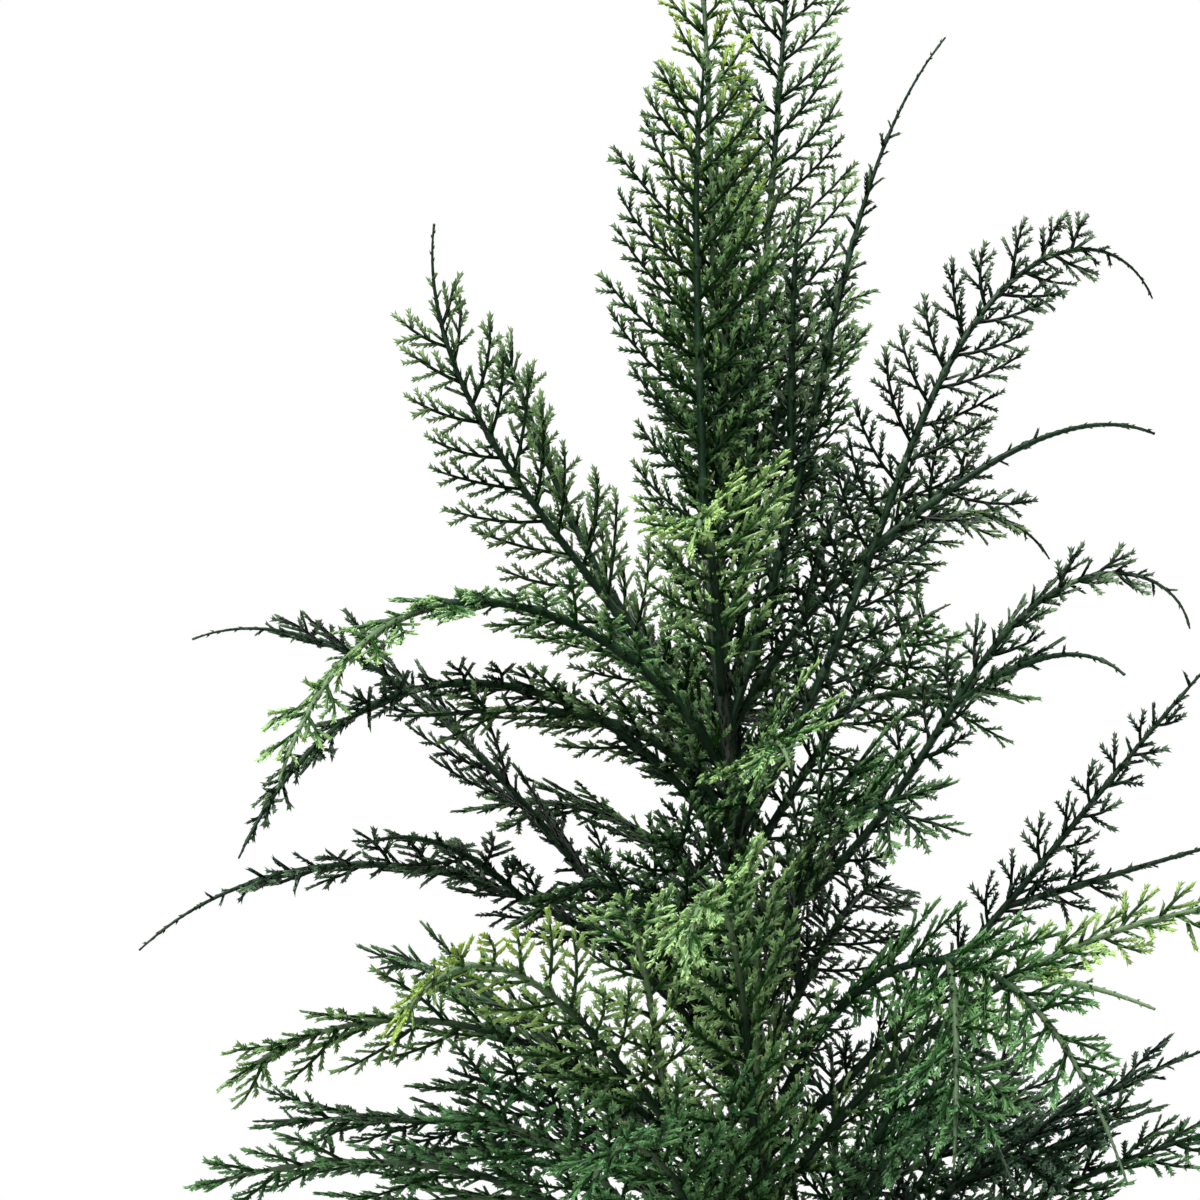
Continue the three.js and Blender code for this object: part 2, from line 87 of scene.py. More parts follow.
# Every spray, from the top down. Its limb leaves the trunk at a height and an
# azimuth (0 is +X, 90 the back), starts at the angle lift above level, and
# bends by ease evenly and by droop mostly near its tip. Roll turns the flat of
# the spray about the limb: 0 lies level and 90 stands on edge. Bare is the
# length of bough before the foliage and whip the bare tip beyond it. Forks says
# how many, less than none where the first is on the other side, and from where
# along the limb that one leaves. Width scales the branchlets.
COLUMNS = ("name", "height", "azimuth", "lift", "ease", "droop", "length",
           "sweep", "roll", "bare", "whip", "forks", "from", "width", "tint")
ROWS = (
    ("leader_a", 885, 180, 88, 0, 7, 231, 0, 80, 0, 0, 0, 0.3, 1.15, 2),
    ("leader_b", 743, 89, 62, 17.5, 3, 490, -27, 24, 0, 0, 1, 0.3, 1.25, 2),
    ("leader_c", 757, 100, 72, 26, -26, 430, 1, 15, 0, 0, 1, 0.3, 0.85, 3),
    ("high_right_a", 797, 20, 70, 19, -40, 375, -7, 20, 0, 85, 1, 0.3, 0.2, 1),
    ("high_right_b", 745, 356, 59, 35, -157, 428, 44, 70, 55, 55, -1, 0.38, 0.8, 1),
    ("high_right_c", 695, 349, 33, 73, -194, 317, -10, 50, 55, 40, -1, 0.5, 0.55, 1),
    ("high_right_d", 795, 41, 54, -37, -75, 267, -10, 30, 0, 35, 1, 0.3, 0.65, 2),
    ("high_left_a", 783, 181, 55, -14, 61, 315, 43, 75, 0, 45, 0, 0.3, 0.9, 2),
    ("high_left_b", 772, 200, 62, -125, 10, 366, 50, 15, 0, 20, 0, 0.6, 0.6, 4),
    ("high_left_c", 718, 189, 70, -139, 23, 380, 57, 30, 55, 30, 0, 0.45, 0.42, 1),
    ("high_left_d", 635, 180, 45, 16, -86, 369, 8, 15, 0, 55, 0, 0.3, 1.1, 1),
    ("high_left_e", 742, 206, 66, -115, 54, 215, -5, 20, 0, 35, 0, 0.3, 0.8, 2),
    ("high_left_f", 695, 160, 58, -68, -14, 170, 0, 20, 0, 15, 0, 0.3, 0.9, 2),
    ("mid_left_a", 602, 184, 63, -89, -13, 383, 32, 20, 60, 65, 1, 0.45, 0.65, 1),
    ("mid_left_b", 545, 220, 42, 10, -102, 305, 12, 40, 0, 0, 1, 0.3, 0.75, 4),
    ("mid_left_c", 520, 191, 67, -77, -25, 321, 1, 35, 0, 0, -1, 0.4, 1.0, 3),
    ("mid_left_d", 496, 172, 63, -96, 33, 303, 8, 30, 0, 20, 2, 0.3, 1.1, 2),
    ("mid_left_e", 437, 189, 72, -93, 7, 342, -4, 30, 60, 0, 2, 0.3, 1, 3),
    ("mid_right_a", 585, 5, 42, 16, -13, 352, 0, 90, 60, 50, -1, 0.5, 0.35, 1),
    ("mid_right_b", 558, 332, 55, -40, -8, 300, 0, 60, 0, 0, -1, 0.62, 0.5, 4),
    ("mid_right_c", 585, 311, 71, -144, 31, 398, -28, 40, 60, 60, -1, 0.5, 0.75, 3),
    ("mid_right_d", 455, 350, 66, -55, 10, 305, 0, 20, 60, 40, 2, 0.3, 1, 1),
    ("mid_right_e", 405, 338, 74, -70, 14, 325, 0, 40, 0, 20, 2, 0.3, 1, 2),
    ("front_a", 815, 262, 60, -5, -110, 150, 0, 40, 0, 0, 0, 0.3, 1, 4),
    ("front_b", 480, 256, 64, 25, -150, 350, 0, 50, 60, 0, 1, 0.3, 1, 4),
    ("front_c", 745, 278, 45, -45, -40, 160, 0, 40, 0, 20, 0, 0.3, 1, 4),
    ("front_d", 460, 240, 48, 15, -110, 262, 4, 40, 0, 0, 1, 0.3, 1, 3),
    ("front_e", 455, 300, 66, -48, -74, 345, -15, 40, 0, 45, 1, 0.3, 1, 2),
    ("front_f", 655, 300, 58, -10, -90, 190, 0, 40, 0, 0, 1, 0.3, 1, 2),
    ("front_g", 634, 212, 60, -20, -80, 160, 0, 40, 0, 0, 1, 0.3, 1, 2),
    ("back_a", 825, 52, 72, -5, -50, 250, 0, 20, 0, 30, 1, 0.3, 1, 2),
    ("back_b", 800, 152, 38, 48, -24, 243, 1, 60, 0, 10, 0, 0.55, 0.5, 2),
    ("back_c", 727, 63, 32, 5, -28, 280, -7, 40, 0, 30, -1, 0.55, 1, 3),
    ("back_d", 672, 102, 48, -5, -70, 315, 0, 30, 60, 20, 2, 0.3, 1, 1),
    ("back_e", 625, 66, 34, -5, -60, 232, 0, 40, 0, 30, 1, 0.3, 1, 2),
    ("back_f", 545, 100, 46, -10, -60, 330, 0, 20, 0, 30, 2, 0.3, 1, 1),
    ("back_g", 514, 138, 42, -10, -50, 330, 0, 30, 0, 20, -1, 0.3, 1, 2),
    ("back_h", 450, 60, 46, -10, -50, 320, 0, 30, 0, 20, 2, 0.3, 1, 3),
    ("low_a", 365, 268, 42, -10, -60, 310, 0, 30, 0, 20, 2, 0.3, 1, 2),
    ("low_b", 345, 12, 40, -10, -50, 325, 0, 20, 60, 30, 2, 0.3, 1, 1),
    ("low_c", 325, 160, 38, -10, -60, 325, 0, 30, 0, 20, 2, 0.3, 1, 1),
    ("low_d", 305, 222, 34, -10, -55, 310, 0, 30, 0, 20, 2, 0.3, 1, 3),
    ("low_e", 285, 88, 34, -10, -50, 310, 0, 25, 0, 30, 2, 0.3, 1, 2),
    ("low_f", 265, 312, 30, -10, -50, 300, 0, 30, 0, 20, 2, 0.3, 1, 2),
    ("low_g", 245, 35, 28, -10, -45, 285, 0, 25, 0, 20, 2, 0.3, 1, 1),
    ("low_h", 225, 185, 26, -10, -45, 290, 0, 25, 0, 20, 2, 0.3, 1, 2),
)
SPRAYS = [dict(zip(COLUMNS, row)) for row in ROWS]
TINTS = ("dark", "mid", "green", "fresh")
# Sprays that differ from the rest: whose forks end in a long bare whip, how much
# paler than its tint a spray is, and how yellow the branchlets of its own limb,
# but not of its forks, turn towards its tip.
FORK_WHIPS = {"high_right_b": 105.0, "high_right_c": 60.0, "mid_left_a": 70.0, "mid_right_a": 65.0,
              "mid_right_b": 60.0}
FADED = {"high_left_a": 0.45, "back_b": 0.45, "high_left_e": 0.25, "front_a": 0.35, "front_b": 0.3,
         "leader_b": 0.1, "leader_c": 0.1, "mid_left_b": 0.35, "mid_left_c": 0.15}
YELLOWED = {"leader_c": 0.65, "mid_left_b": 0.75, "mid_right_b": 0.35, "front_a": 0.2}
# Painted shade: the greens turn bluer and darker between these heights of the limbs' feet, downwards.
LOW_SHADE = {"full_below": 520.0, "none_above": 800.0, "most": 0.6}


def mix(a, b, t):
    """From a to b as t goes from 0 to 1."""
    return a + (b - a) * t


def unit(vectors):
    """Each vector at length 1."""
    return vectors / np.linalg.norm(vectors, axis=-1, keepdims=True)


def trunk_at(z):
    """The trunk's axis at heights z: it leans by a power of how far it has risen."""
    rise = np.maximum(0, (z - TRUNK["foot"]) / (TRUNK["top"] - TRUNK["foot"]))
    return np.stack([TRUNK["lean"] * rise ** TRUNK["lean_power"], 0 * z, z], axis=-1)


def trunk_radius(z):
    """The trunk's radius at heights z: an even taper and a flare that dies away upwards."""
    up = z - TRUNK["foot"]
    return (mix(TRUNK["foot_radius"], TRUNK["tip_radius"], up / (TRUNK["top"] - TRUNK["foot"]))
            + TRUNK["flare"] * np.exp(-up / TRUNK["flare_height"]))


class Shoot:
    """A stem's centre line: equal steps, each along a heading whose elevation
    and azimuth change with t, with the flat of its spray and the normal."""

    def __init__(self, spray, owner, start, first, last, turn, length):
        count = math.ceil(length / STEP)
        t = np.linspace(first, last, count + 1)
        roll = math.radians(spray["roll"])
        e = np.radians(spray["lift"] + spray["ease"] * t + spray["droop"] * t ** 4 + turn * math.sin(roll))
        a = np.radians(spray["azimuth"] + spray["sweep"] * t + turn * math.cos(roll))
        along = np.stack([np.cos(e) * np.cos(a), np.cos(e) * np.sin(a), np.sin(e)], axis=-1)
        side = np.stack([-np.sin(a), np.cos(a), 0 * a], axis=-1)
        flat = side * math.cos(roll) + np.cross(along, side) * math.sin(roll)
        self.spray, self.owner, self.length, self.step = spray, owner, length, length / count
        self.frames = np.stack([along, flat, np.cross(along, flat)], axis=1)
        moves = np.vstack([np.zeros(3), np.cumsum(along[:-1], axis=0)])
        self.centres = np.asarray(start) + moves * self.step

    def at(self, distances):
        """Centres and the three directions at distances: both change evenly between two points."""
        place = np.asarray(distances, float) / self.step
        k = np.clip(np.floor(place).astype(int), 0, len(self.centres) - 2)
        part = place - k
        centres = self.centres[k] + self.frames[k, 0] * (part * self.step)[..., None]
        turned = mix(self.frames[k], self.frames[k + 1], np.clip(part, 0, 1)[..., None, None])
        return centres, unit(turned)

    def is_main(self):
        """Whether this is a spray's own limb and not one of its forks."""
        return self.owner == self.spray["name"]

    def points(self):
        """The points that this shoot claims for itself."""
        return self.at(np.arange(0, self.length, GRAIN))[0]


def limb_radius(spray, at):
    """A limb tapers from its foot to where its whip starts, mostly near there."""
    share = np.minimum(1, at / (spray["length"] - spray["whip"]))
    return mix(LIMB["foot_radius"], LIMB["tip_radius"], share ** LIMB["power"])


def nearest(points, others):
    """The distance from each point to the closest of the others, and which one
    that is, by blocks."""
    gaps, owners = [], []
    for block in np.array_split(points, max(1, len(points) // 4000)):
        squared = (block ** 2).sum(1)[:, None] + (others ** 2).sum(1) - 2 * block @ others.T
        owners.append(squared.argmin(axis=1))
        gaps.append(np.sqrt(np.maximum(0, squared.min(axis=1))))
    return np.concatenate(gaps), np.concatenate(owners)


def grow():
    """Every shoot of the tree: a main limb for each spray, then its forks on
    alternate sides where they keep clear of every other limb."""
    mains = [Shoot(spray, spray["name"], trunk_at(np.float64(spray["height"])), 0, 1, 0, spray["length"])
             for spray in SPRAYS]
    for main in mains:
        spray = main.spray
        on_tip = spray["height"] == TRUNK["top"]
        root = spray["bare"] + SEAT if spray["bare"] or on_tip else SPRAY_FOOT
        main.leafy, main.whip = root, spray["whip"]
        main.first = max(BRANCHLET["first"], root + BRANCHLET["clear_of_root"])
        main.thick = lambda at, spray=spray: limb_radius(spray, at)
    claims = [(main.owner, main.points()) for main in mains]
    shoots = list(mains)
    for main in mains:
        spray = main.spray
        for k in range(abs(spray["forks"])):
            t = spray["from"] + FORK["spacing"] * k
            length = spray["length"] * (1 - t) * FORK["share"] + FORK["extra"]
            start = main.at([t * spray["length"]])[0][0]
            turn = FORK["splay"] * (-1 if k % 2 else 1) * math.copysign(1, spray["forks"])
            fork = Shoot(spray, f"{spray['name']}_fork_{k}", start, t, mix(t, 1, FORK["hurry"]), turn, length)
            others = np.vstack([points for owner, points in claims if owner != spray["name"]])
            if nearest(fork.centres, others)[0].min() >= FORK["clear"]:
                foot = float(limb_radius(spray, t * spray["length"]))
                fork.leafy, fork.first = 0.0, BRANCHLET["fork_first"]
                fork.whip = FORK_WHIPS.get(spray["name"], spray["whip"] * FORK["whip"])
                fork.thick = lambda at, foot=foot, end=length: mix(
                    foot, LIMB["fork_tip"], (at / end) ** LIMB["power"])
                claims.append((fork.owner, fork.points()))
                shoots.append(fork)
    return shoots


# ---- surfaces worked out as whole arrays ----


def quads(rows, columns):
    """The faces of a grid of points, row by row, joined round its columns."""
    r, c = np.meshgrid(np.arange(rows - 1), np.arange(columns), indexing="ij")
    right = (c + 1) % columns
    return np.stack([r * columns + c, r * columns + right,
                     (r + 1) * columns + right, (r + 1) * columns + c], axis=-1).reshape(-1, 4)


def spikes(feet, ahead, across, length, width, thick):
    """Closed four-faced points: a triangle of the width and the thickness round
    each foot, and a tip at the length ahead of it."""
    out = np.cross(ahead, across)
    width, thick, length = (np.broadcast_to(np.asarray(v, float), feet.shape[:1])[:, None]
                            for v in (width, thick, length))
    corners = np.stack([feet + across * width / 2 - out * thick / 2,
                        feet - across * width / 2 - out * thick / 2,
                        feet + out * thick / 2, feet + ahead * length], axis=1)
    faces = np.array([(0, 2, 3), (2, 1, 3), (1, 0, 3), (0, 1, 2)])
    index = faces + 4 * np.arange(len(feet))[:, None, None]
    return corners.reshape(-1, 3), index.reshape(-1, 3)


def caps(rings, sides):
    """The faces that close both ends of a tube of rings: a fan onto each of the
    two points that follow its grid, the first at its low end."""
    k = np.arange(sides)
    ahead, count, last = (k + 1) % sides, rings * sides, (rings - 1) * sides
    return np.concatenate([np.stack([np.full(sides, count), ahead, k], axis=-1),
                           np.stack([np.full(sides, count + 1), last + k, last + ahead], axis=-1)])


def spiral(count, stray, rng):
    """Turns round a stem for things that each stand a spiral step on from the last."""
    return np.arange(count) * SPIRAL + rng.uniform(-stray, stray, count)


def tubes(centres, across, out, radii, sides):
    """Closed tubes, many at once: at each point of a path, a ring of the radius
    in the plane of its two directions; a flat face closes each end."""
    many, rings = centres.shape[:2]
    turn = 2 * np.pi * np.arange(sides) / sides
    spokes = (across[:, :, None] * np.cos(turn)[:, None] + out[:, :, None] * np.sin(turn)[:, None])
    points = centres[:, :, None] + spokes * np.asarray(radii)[:, :, None, None]
    k, shift = np.arange(sides), rings * sides * np.arange(many)[:, None, None]
    ends = np.stack([k[::-1], (rings - 1) * sides + k])
    walls = quads(rings, sides) + shift
    return points.reshape(-1, 3), walls.reshape(-1, 4), (ends + shift).reshape(-1, sides)


class Pile:
    """Points, faces and per-point marks gathered from many small shapes."""

    def __init__(self):
        self.points, self.faces, self.marks, self.count = [], [], {}, 0

    def add(self, points, *faces, **marks):
        """Takes in a shape: its points, blocks of faces, and marks for all or each of its points."""
        self.points.append(points)
        self.faces += [block + self.count for block in faces]
        for name, values in marks.items():
            self.marks.setdefault(name, []).append(np.broadcast_to(values, len(points)))
        self.count += len(points)

    def take(self, other):
        """Takes in all that another pile holds."""
        marks = {mark: np.concatenate(values) for mark, values in other.marks.items()}
        self.add(np.concatenate(other.points), *other.faces, **marks)

    def triangles(self):
        """How many triangles the pile makes."""
        return sum(len(block) * (block.shape[1] - 2) for block in self.faces)

    def piece(self, name, smooth=True):
        """One object of all that the pile holds."""
        marks = {mark: np.concatenate(values) for mark, values in self.marks.items()}
        return new_piece(name, np.concatenate(self.points), self.faces, smooth, marks)


def new_piece(name, points, faces, smooth=True, marks=None):
    """An object from points in millimetres and blocks of faces with equal corners."""
    mesh = bpy.data.meshes.new(name)
    sizes = np.concatenate([np.full(len(block), block.shape[1]) for block in faces])
    loops = np.concatenate([block.ravel() for block in faces]).astype(np.int32)
    mesh.vertices.add(len(points))
    mesh.vertices.foreach_set("co", (points * MM).astype(np.float32).ravel())
    mesh.loops.add(len(loops))
    mesh.loops.foreach_set("vertex_index", loops)
    mesh.polygons.add(len(sizes))
    mesh.polygons.foreach_set("loop_start", (np.cumsum(sizes) - sizes).astype(np.int32))
    mesh.polygons.foreach_set("use_smooth", np.full(len(sizes), smooth))
    for mark, values in (marks or {}).items():
        mesh.attributes.new(mark, "FLOAT", "POINT").data.foreach_set("value", values.astype(np.float32))
    mesh.update(calc_edges=True)
    piece = bpy.data.objects.new(name, mesh)
    bpy.context.scene.collection.objects.link(piece)
    return piece


def dress(piece, material, slot, *nodes):
    """Gives a piece its material and its place on the body, and hides the CAD nodes it stands for."""
    piece.data.materials.append(material)
    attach(piece, "root")
    if nodes:
        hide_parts(*nodes)


# ---- shader maths ----


class Sum:
    """A socket that can stand in sums: each operator adds its Math node."""

    def __init__(self, shader, socket):
        self.shader, self.socket = shader, socket

    def _maths(self, operation, a, b):
        return self.shader.node("ShaderNodeMath", {"operation": operation}, {0: a, 1: b})

    def __add__(self, other):
        return self._maths("ADD", self, other)

    def __sub__(self, other):
        return self._maths("SUBTRACT", self, other)

    def __rsub__(self, other):
        return self._maths("SUBTRACT", other, self)

    def __mul__(self, other):
        return self._maths("MULTIPLY", self, other)

    __radd__, __rmul__ = __add__, __mul__


class Shader:
    """A material's nodes round one Principled shader."""

    def __init__(self, name, **fixed):
        self.material = bpy.data.materials.new(name)
        self.material.use_nodes = True
        self.tree = self.material.node_tree
        self.surface = self.tree.nodes["Principled BSDF"]
        self.set(**fixed)

    def node(self, kind, settings=None, values=None, out=0):
        """Adds a node, makes its settings, then sets or links its sockets."""
        node = self.tree.nodes.new(kind)
        for name, value in (settings or {}).items():
            setattr(node, name, value)
        for key, value in (values or {}).items():
            if isinstance(value, Sum):
                self.tree.links.new(value.socket, node.inputs[key])
            else:
                node.inputs[key].default_value = value
        return Sum(self, node.outputs[out])

    def place(self):
        """Where the point lies on the object, in metres."""
        return self.node("ShaderNodeTexCoord", out="Object")

    def mark(self, name):
        """A value that each point of the mesh carries."""
        return self.node("ShaderNodeAttribute", {"attribute_name": name}, out="Fac")

    def noise(self, scale, detail=2.0, rough=0.5):
        """Smooth noise from 0 to 1, finer as the scale grows."""
        return self.node("ShaderNodeTexNoise", None, {"Vector": self.place(), "Scale": scale,
                                                      "Detail": detail, "Roughness": rough})

    def between(self, value, low, high):
        """0 below low, 1 above high, even between."""
        return self.node("ShaderNodeMapRange", {"clamp": True}, {0: value, 1: low, 2: high})

    def blend(self, factor, a, b):
        """From colour a to colour b as the factor goes from 0 to 1."""
        return self.node("ShaderNodeMix", {"data_type": "RGBA"}, {0: factor, 6: a, 7: b}, out=2)

    def bump(self, height, strength, distance):
        """Roughens the surface by a height, at most by the distance in metres."""
        self.set(Normal=self.node("ShaderNodeBump", None, {"Height": height, "Strength": strength,
                                                           "Distance": distance}))

    def set(self, **values):
        """Sets or links the shader's own sockets, named with _ for a space."""
        for key, value in values.items():
            socket = self.surface.inputs[key.replace("_", " ")]
            if isinstance(value, Sum):
                self.tree.links.new(value.socket, socket)
            else:
                socket.default_value = value


def paint(red, green, blue):
    """A screen colour from 0 to 255 as the light it gives."""
    value = np.array([red, green, blue]) / 255
    light = np.where(value <= 0.04045, value / 12.92, ((value + 0.055) / 1.055) ** 2.4)
    return tuple(float(v) for v in light)


def full(colour):
    """A colour with its alpha."""
    return (*colour, 1.0)


def shade(colour, amount):
    """A colour made darker or lighter."""
    return full(tuple(min(1.0, v * amount) for v in colour))


# ---- settings ----


def length(name, text, default, low=0.0, high=1.0):
    """A setting for a length in metres."""
    return FloatProperty(name=name, description=text, default=default, min=low, max=high,
                         unit="LENGTH", precision=4)


def colour(name, text, default):
    """A setting for a colour."""
    return FloatVectorProperty(name=name, description=text, default=default, size=3,
                               subtype="COLOR", min=0.0, max=1.0)


class PotSettings(bpy.types.PropertyGroup):
    """The nursery pot's sizes and colours."""
    height: length("Height", "From the underside to the rim", float(POT_BOX[1][2] * MM))
    rim_radius: length("Rim radius", "Out to the outside of the rim", float(POT_BOX[1][0] * MM))
    foot_radius: length("Foot radius", "The wall's outside at the underside", 0.062)
    rounding: length("Rounding", "Radius of the moulded edges", 0.0012)
    colour: colour("Colour", "Black nursery plastic", paint(40, 40, 39))
    dust: colour("Dust", "The grey that rubs off on the rim", paint(96, 94, 88))


class FillSettings(bpy.types.PropertyGroup):
    """The grit on top of the fill."""
    grains: IntProperty(name="Grains", description="Bits of grit on the top of the fill", default=900, min=10)
    grain: length("Grain", "Width of one bit of grit", 0.006)
    relief: length("Relief", "How far the grit stands up", 0.0014)
    colour: colour("Colour", "Grit pressed into the fill", paint(98, 86, 72))
    # painted shade in the gaps between the grit
    painted_gap_shade: colour("Gap colour", "Between the bits of grit", paint(44, 37, 30))


class TrunkSettings(bpy.types.PropertyGroup):
    """The trunk's furrows and bark."""
    furrows: IntProperty(name="Furrows", description="Upright furrows round the trunk", default=9, min=1)
    depth: length("Furrow depth", "How deep the furrows are moulded", 0.0007)
    colour: colour("Ridge colour", "Bark on the ridges", paint(34, 43, 31))
    # painted shade in the furrows
    painted_furrow_shade: colour("Furrow colour", "Bark in the furrows", paint(14, 20, 14))


class StemSettings(bpy.types.PropertyGroup):
    """The sleeved stems and the small scales pressed to them."""
    sleeve: length("Sleeve", "Length of one plastic sleeve on a stem", 0.055)
    collar: length("Collar", "How far the joint of two sleeves stands out", 0.0007)
    scale: length("Pressed scale", "Length of the small scales pressed to a stem", 0.0036)
    pressed: length("Pressed scale spacing", "Along a stem, from one small scale to the next", 0.0017, 0.0008)
    scales_from: length("Lowest trunk scales", "Height from which the trunk wears them", 0.24)
    colour: colour("Colour", "Dark plastic of the sleeves", paint(18, 38, 22))
    worn: colour("Worn colour", "Where the sleeves are rubbed and grey", paint(66, 90, 66))
    fresh: colour("Fresh colour", "Sleeves of the palest sprays", paint(112, 136, 98))


class FoliageSettings(bpy.types.PropertyGroup):
    """The branchlets, twigs and scales, and the colours they are dealt."""
    branchlets: length("Branchlet spacing", "From one to the next, on alternate sides", 0.0102, 0.002)
    twigs: length("Twig spacing", "Between one twig and the next on a branchlet", 0.0048, 0.001)
    clothing: length("Stem twig spacing", "From one twig straight off a stem to the next", 0.0055, 0.001)
    twig: length("Twig length", "Length of the longest twigs", 0.0150)
    rib: length("Rib thickness", "Thickness of a twig's rib, near its foot", 0.0019)
    scale: length("Scale length", "Length of one pointed scale", 0.0033)
    scale_width: length("Scale width", "Width of one scale at its foot", 0.0019)
    dark: colour("Dark", "Base colour of the darkest sprays", paint(32, 51, 32))
    mid: colour("Mid", "Base colour of most sprays", paint(44, 73, 32))
    green: colour("Green", "Base colour of the lighter sprays", paint(64, 98, 46))
    fresh: colour("Fresh", "Base colour of the yellow-green sprays", paint(104, 132, 78))
    yellow: colour("Yellow", "The painted tips of a few sprays", paint(132, 154, 50))


class StudioSettings(bpy.types.PropertyGroup):
    """The floor, the lights and the camera's lens."""
    floor_radius: length("Floor radius", "Radius of the round floor", 3.4, 0.5, 20.0)
    floor: colour("Floor", "Pale floor", paint(236, 236, 233))
    lens: FloatProperty(name="Lens", description="Focal length of the camera", default=120.0, unit="CAMERA")
    overhead: FloatProperty(name="Overhead light", description="Power of the wide light above",
                            default=205.0, min=0.0, unit="POWER")
    front: FloatProperty(name="Front light", description="Power of the wide light in front",
                        default=50.0, min=0.0, unit="POWER")
    behind: FloatProperty(name="Back light", description="Power of the wide light behind",
                          default=55.0, min=0.0, unit="POWER")
    surround: FloatProperty(name="Surround", description="Brightness of the room on the object",
                            default=0.035, min=0.0)


# ---- pot and fill ----

POT = {"rim_out": 4.0, "rim_depth": 22.0, "wall": 3.5, "floor": 4.0, "chamfer": 3.0, "ease": 1.0,
       "ridges": (40.0, 84.0), "ridge": 0.6, "ridge_top": 1.0, "ridge_foot": 2.0, "sides": 128}
FILL = {"dome": 4.0, "dome_edge": 0.45, "middle": 0.02, "calm_edge": 3.0, "calm_middle": 4.0,
        "foot_inset": 14.0, "sides": 200, "rings": 64}


def rounded(profile, radius):
    """A profile with each inner corner eased: five points of the curve that
    blends the two edges, from the radius before the corner, or just under half
    of a shorter edge, to as far after it."""
    corners = np.array(profile, float)
    before, here, after = corners[:-2], corners[1:-1], corners[2:]

    def towards(other):
        """The point on the way to a neighbour where the easing starts or ends."""
        room = np.linalg.norm(other - here, axis=1) * 0.45
        return here + unit(other - here) * np.minimum(radius, room)[:, None]

    start, end = towards(before), towards(after)
    t = np.linspace(0, 1, 5)[:, None, None]
    eased = (1 - t) ** 2 * start + 2 * t * (1 - t) * here + t ** 2 * end
    return np.vstack([corners[:1], eased.transpose(1, 0, 2).reshape(-1, 2), corners[-1:]])


def turned(profile, sides):
    """A closed surface of revolution: each [radius, height] of the profile, from
    the axis out and back to it, carried round in equal turns."""
    turn = 2 * np.pi * np.arange(sides) / sides
    rings = profile[1:-1]
    skin = np.stack([rings[:, :1] * np.cos(turn), rings[:, :1] * np.sin(turn),
                     np.broadcast_to(rings[:, 1:], (len(rings), sides))], axis=-1)
    points = np.vstack([skin.reshape(-1, 3), [0, 0, profile[0][1]], [0, 0, profile[-1][1]]])
    return points, [quads(len(rings), sides), caps(len(rings), sides)]


def pot_profile(height, foot, top):
    """The pot's outline, from the middle of the underside up its outside, over
    the rim and down its inside to the middle of the floor; the radius grows
    evenly with the height, and two low mould ridges go round the wall."""
    def wall(z, out=0.0):
        """A point of the wall at a height, moved out by so much."""
        return mix(foot, top, z / height) + out, z

    rim_foot, out, ease = height - POT["rim_depth"], POT["rim_out"], POT["ease"]
    profile = [(0, 0), (foot - POT["chamfer"], 0), wall(POT["chamfer"])]
    for middle in POT["ridges"]:
        profile += [wall(middle - POT["ridge_foot"]), wall(middle - POT["ridge_top"], POT["ridge"]),
                    wall(middle + POT["ridge_top"], POT["ridge"]), wall(middle + POT["ridge_foot"])]
    profile += [wall(rim_foot), (wall(rim_foot, out)[0], rim_foot + ease),
                (wall(height, out)[0], height - ease), wall(height, out - ease)]
    return profile + [wall(height, -POT["wall"]), wall(POT["floor"], -POT["wall"]), (0, POT["floor"])]


def pot_plastic(s):
    """Black plastic with a fine grain, greyed in patches just below the rim."""
    shader = Shader("pot plastic", Roughness=0.5)
    grain, patches = shader.noise(900.0, 3.0), shader.noise(22.0, 4.0, 0.6)
    heights = shader.node("ShaderNodeSeparateXYZ", None, {0: shader.place()}, out="Z")
    rubbed = shader.between(heights, s.height - 0.012, s.height) * shader.between(patches, 0.45, 0.7)
    black = shader.blend(patches, shade(s.colour, 0.8), shade(s.colour, 1.3))
    shader.set(Base_Color=shader.blend(rubbed * 0.6, black, full(s.dust)),
               Roughness=0.42 + grain * 0.16 + rubbed * 0.15)
    shader.bump(grain + patches * 0.5, 0.25, 0.0003)
    return shader.material


class CYPRESS_OT_pot(bpy.types.Operator):
    """Turn the plain nursery pot with its rolled rim"""
    bl_idname = "cypress.pot"
    bl_label = "Pot"

    def execute(self, context):
        s = context.scene.cypress_pot
        profile = pot_profile(s.height / MM, s.foot_radius / MM, s.rim_radius / MM - POT["rim_out"])
        points, faces = turned(rounded(profile, s.rounding / MM), POT["sides"])
        dress(new_piece("nursery_pot", points, faces), pot_plastic(s), "pot", "pot")
        return {"FINISHED"}


def pressed_grit(s):
    """Dull grit, each bit its own brown, with painted shade in the darker gaps between the bits."""
    shader = Shader("pressed grit", Roughness=0.95)
    fine = shader.noise(700.0, 4.0, 0.7)
    bits = shader.blend(shader.mark("grit") * 0.8 + fine * 0.2, shade(s.colour, 0.45), shade(s.colour, 1.7))
    raised = shader.between(shader.mark("raised"), 0.1, 0.8)
    # painted shade: the gap colour where a bit's cap is low
    shader.set(Base_Color=shader.blend(raised, full(s.painted_gap_shade), bits), Roughness=0.8 + fine * 0.2)
    shader.bump(fine, 0.5, 0.0006)
    return shader.material


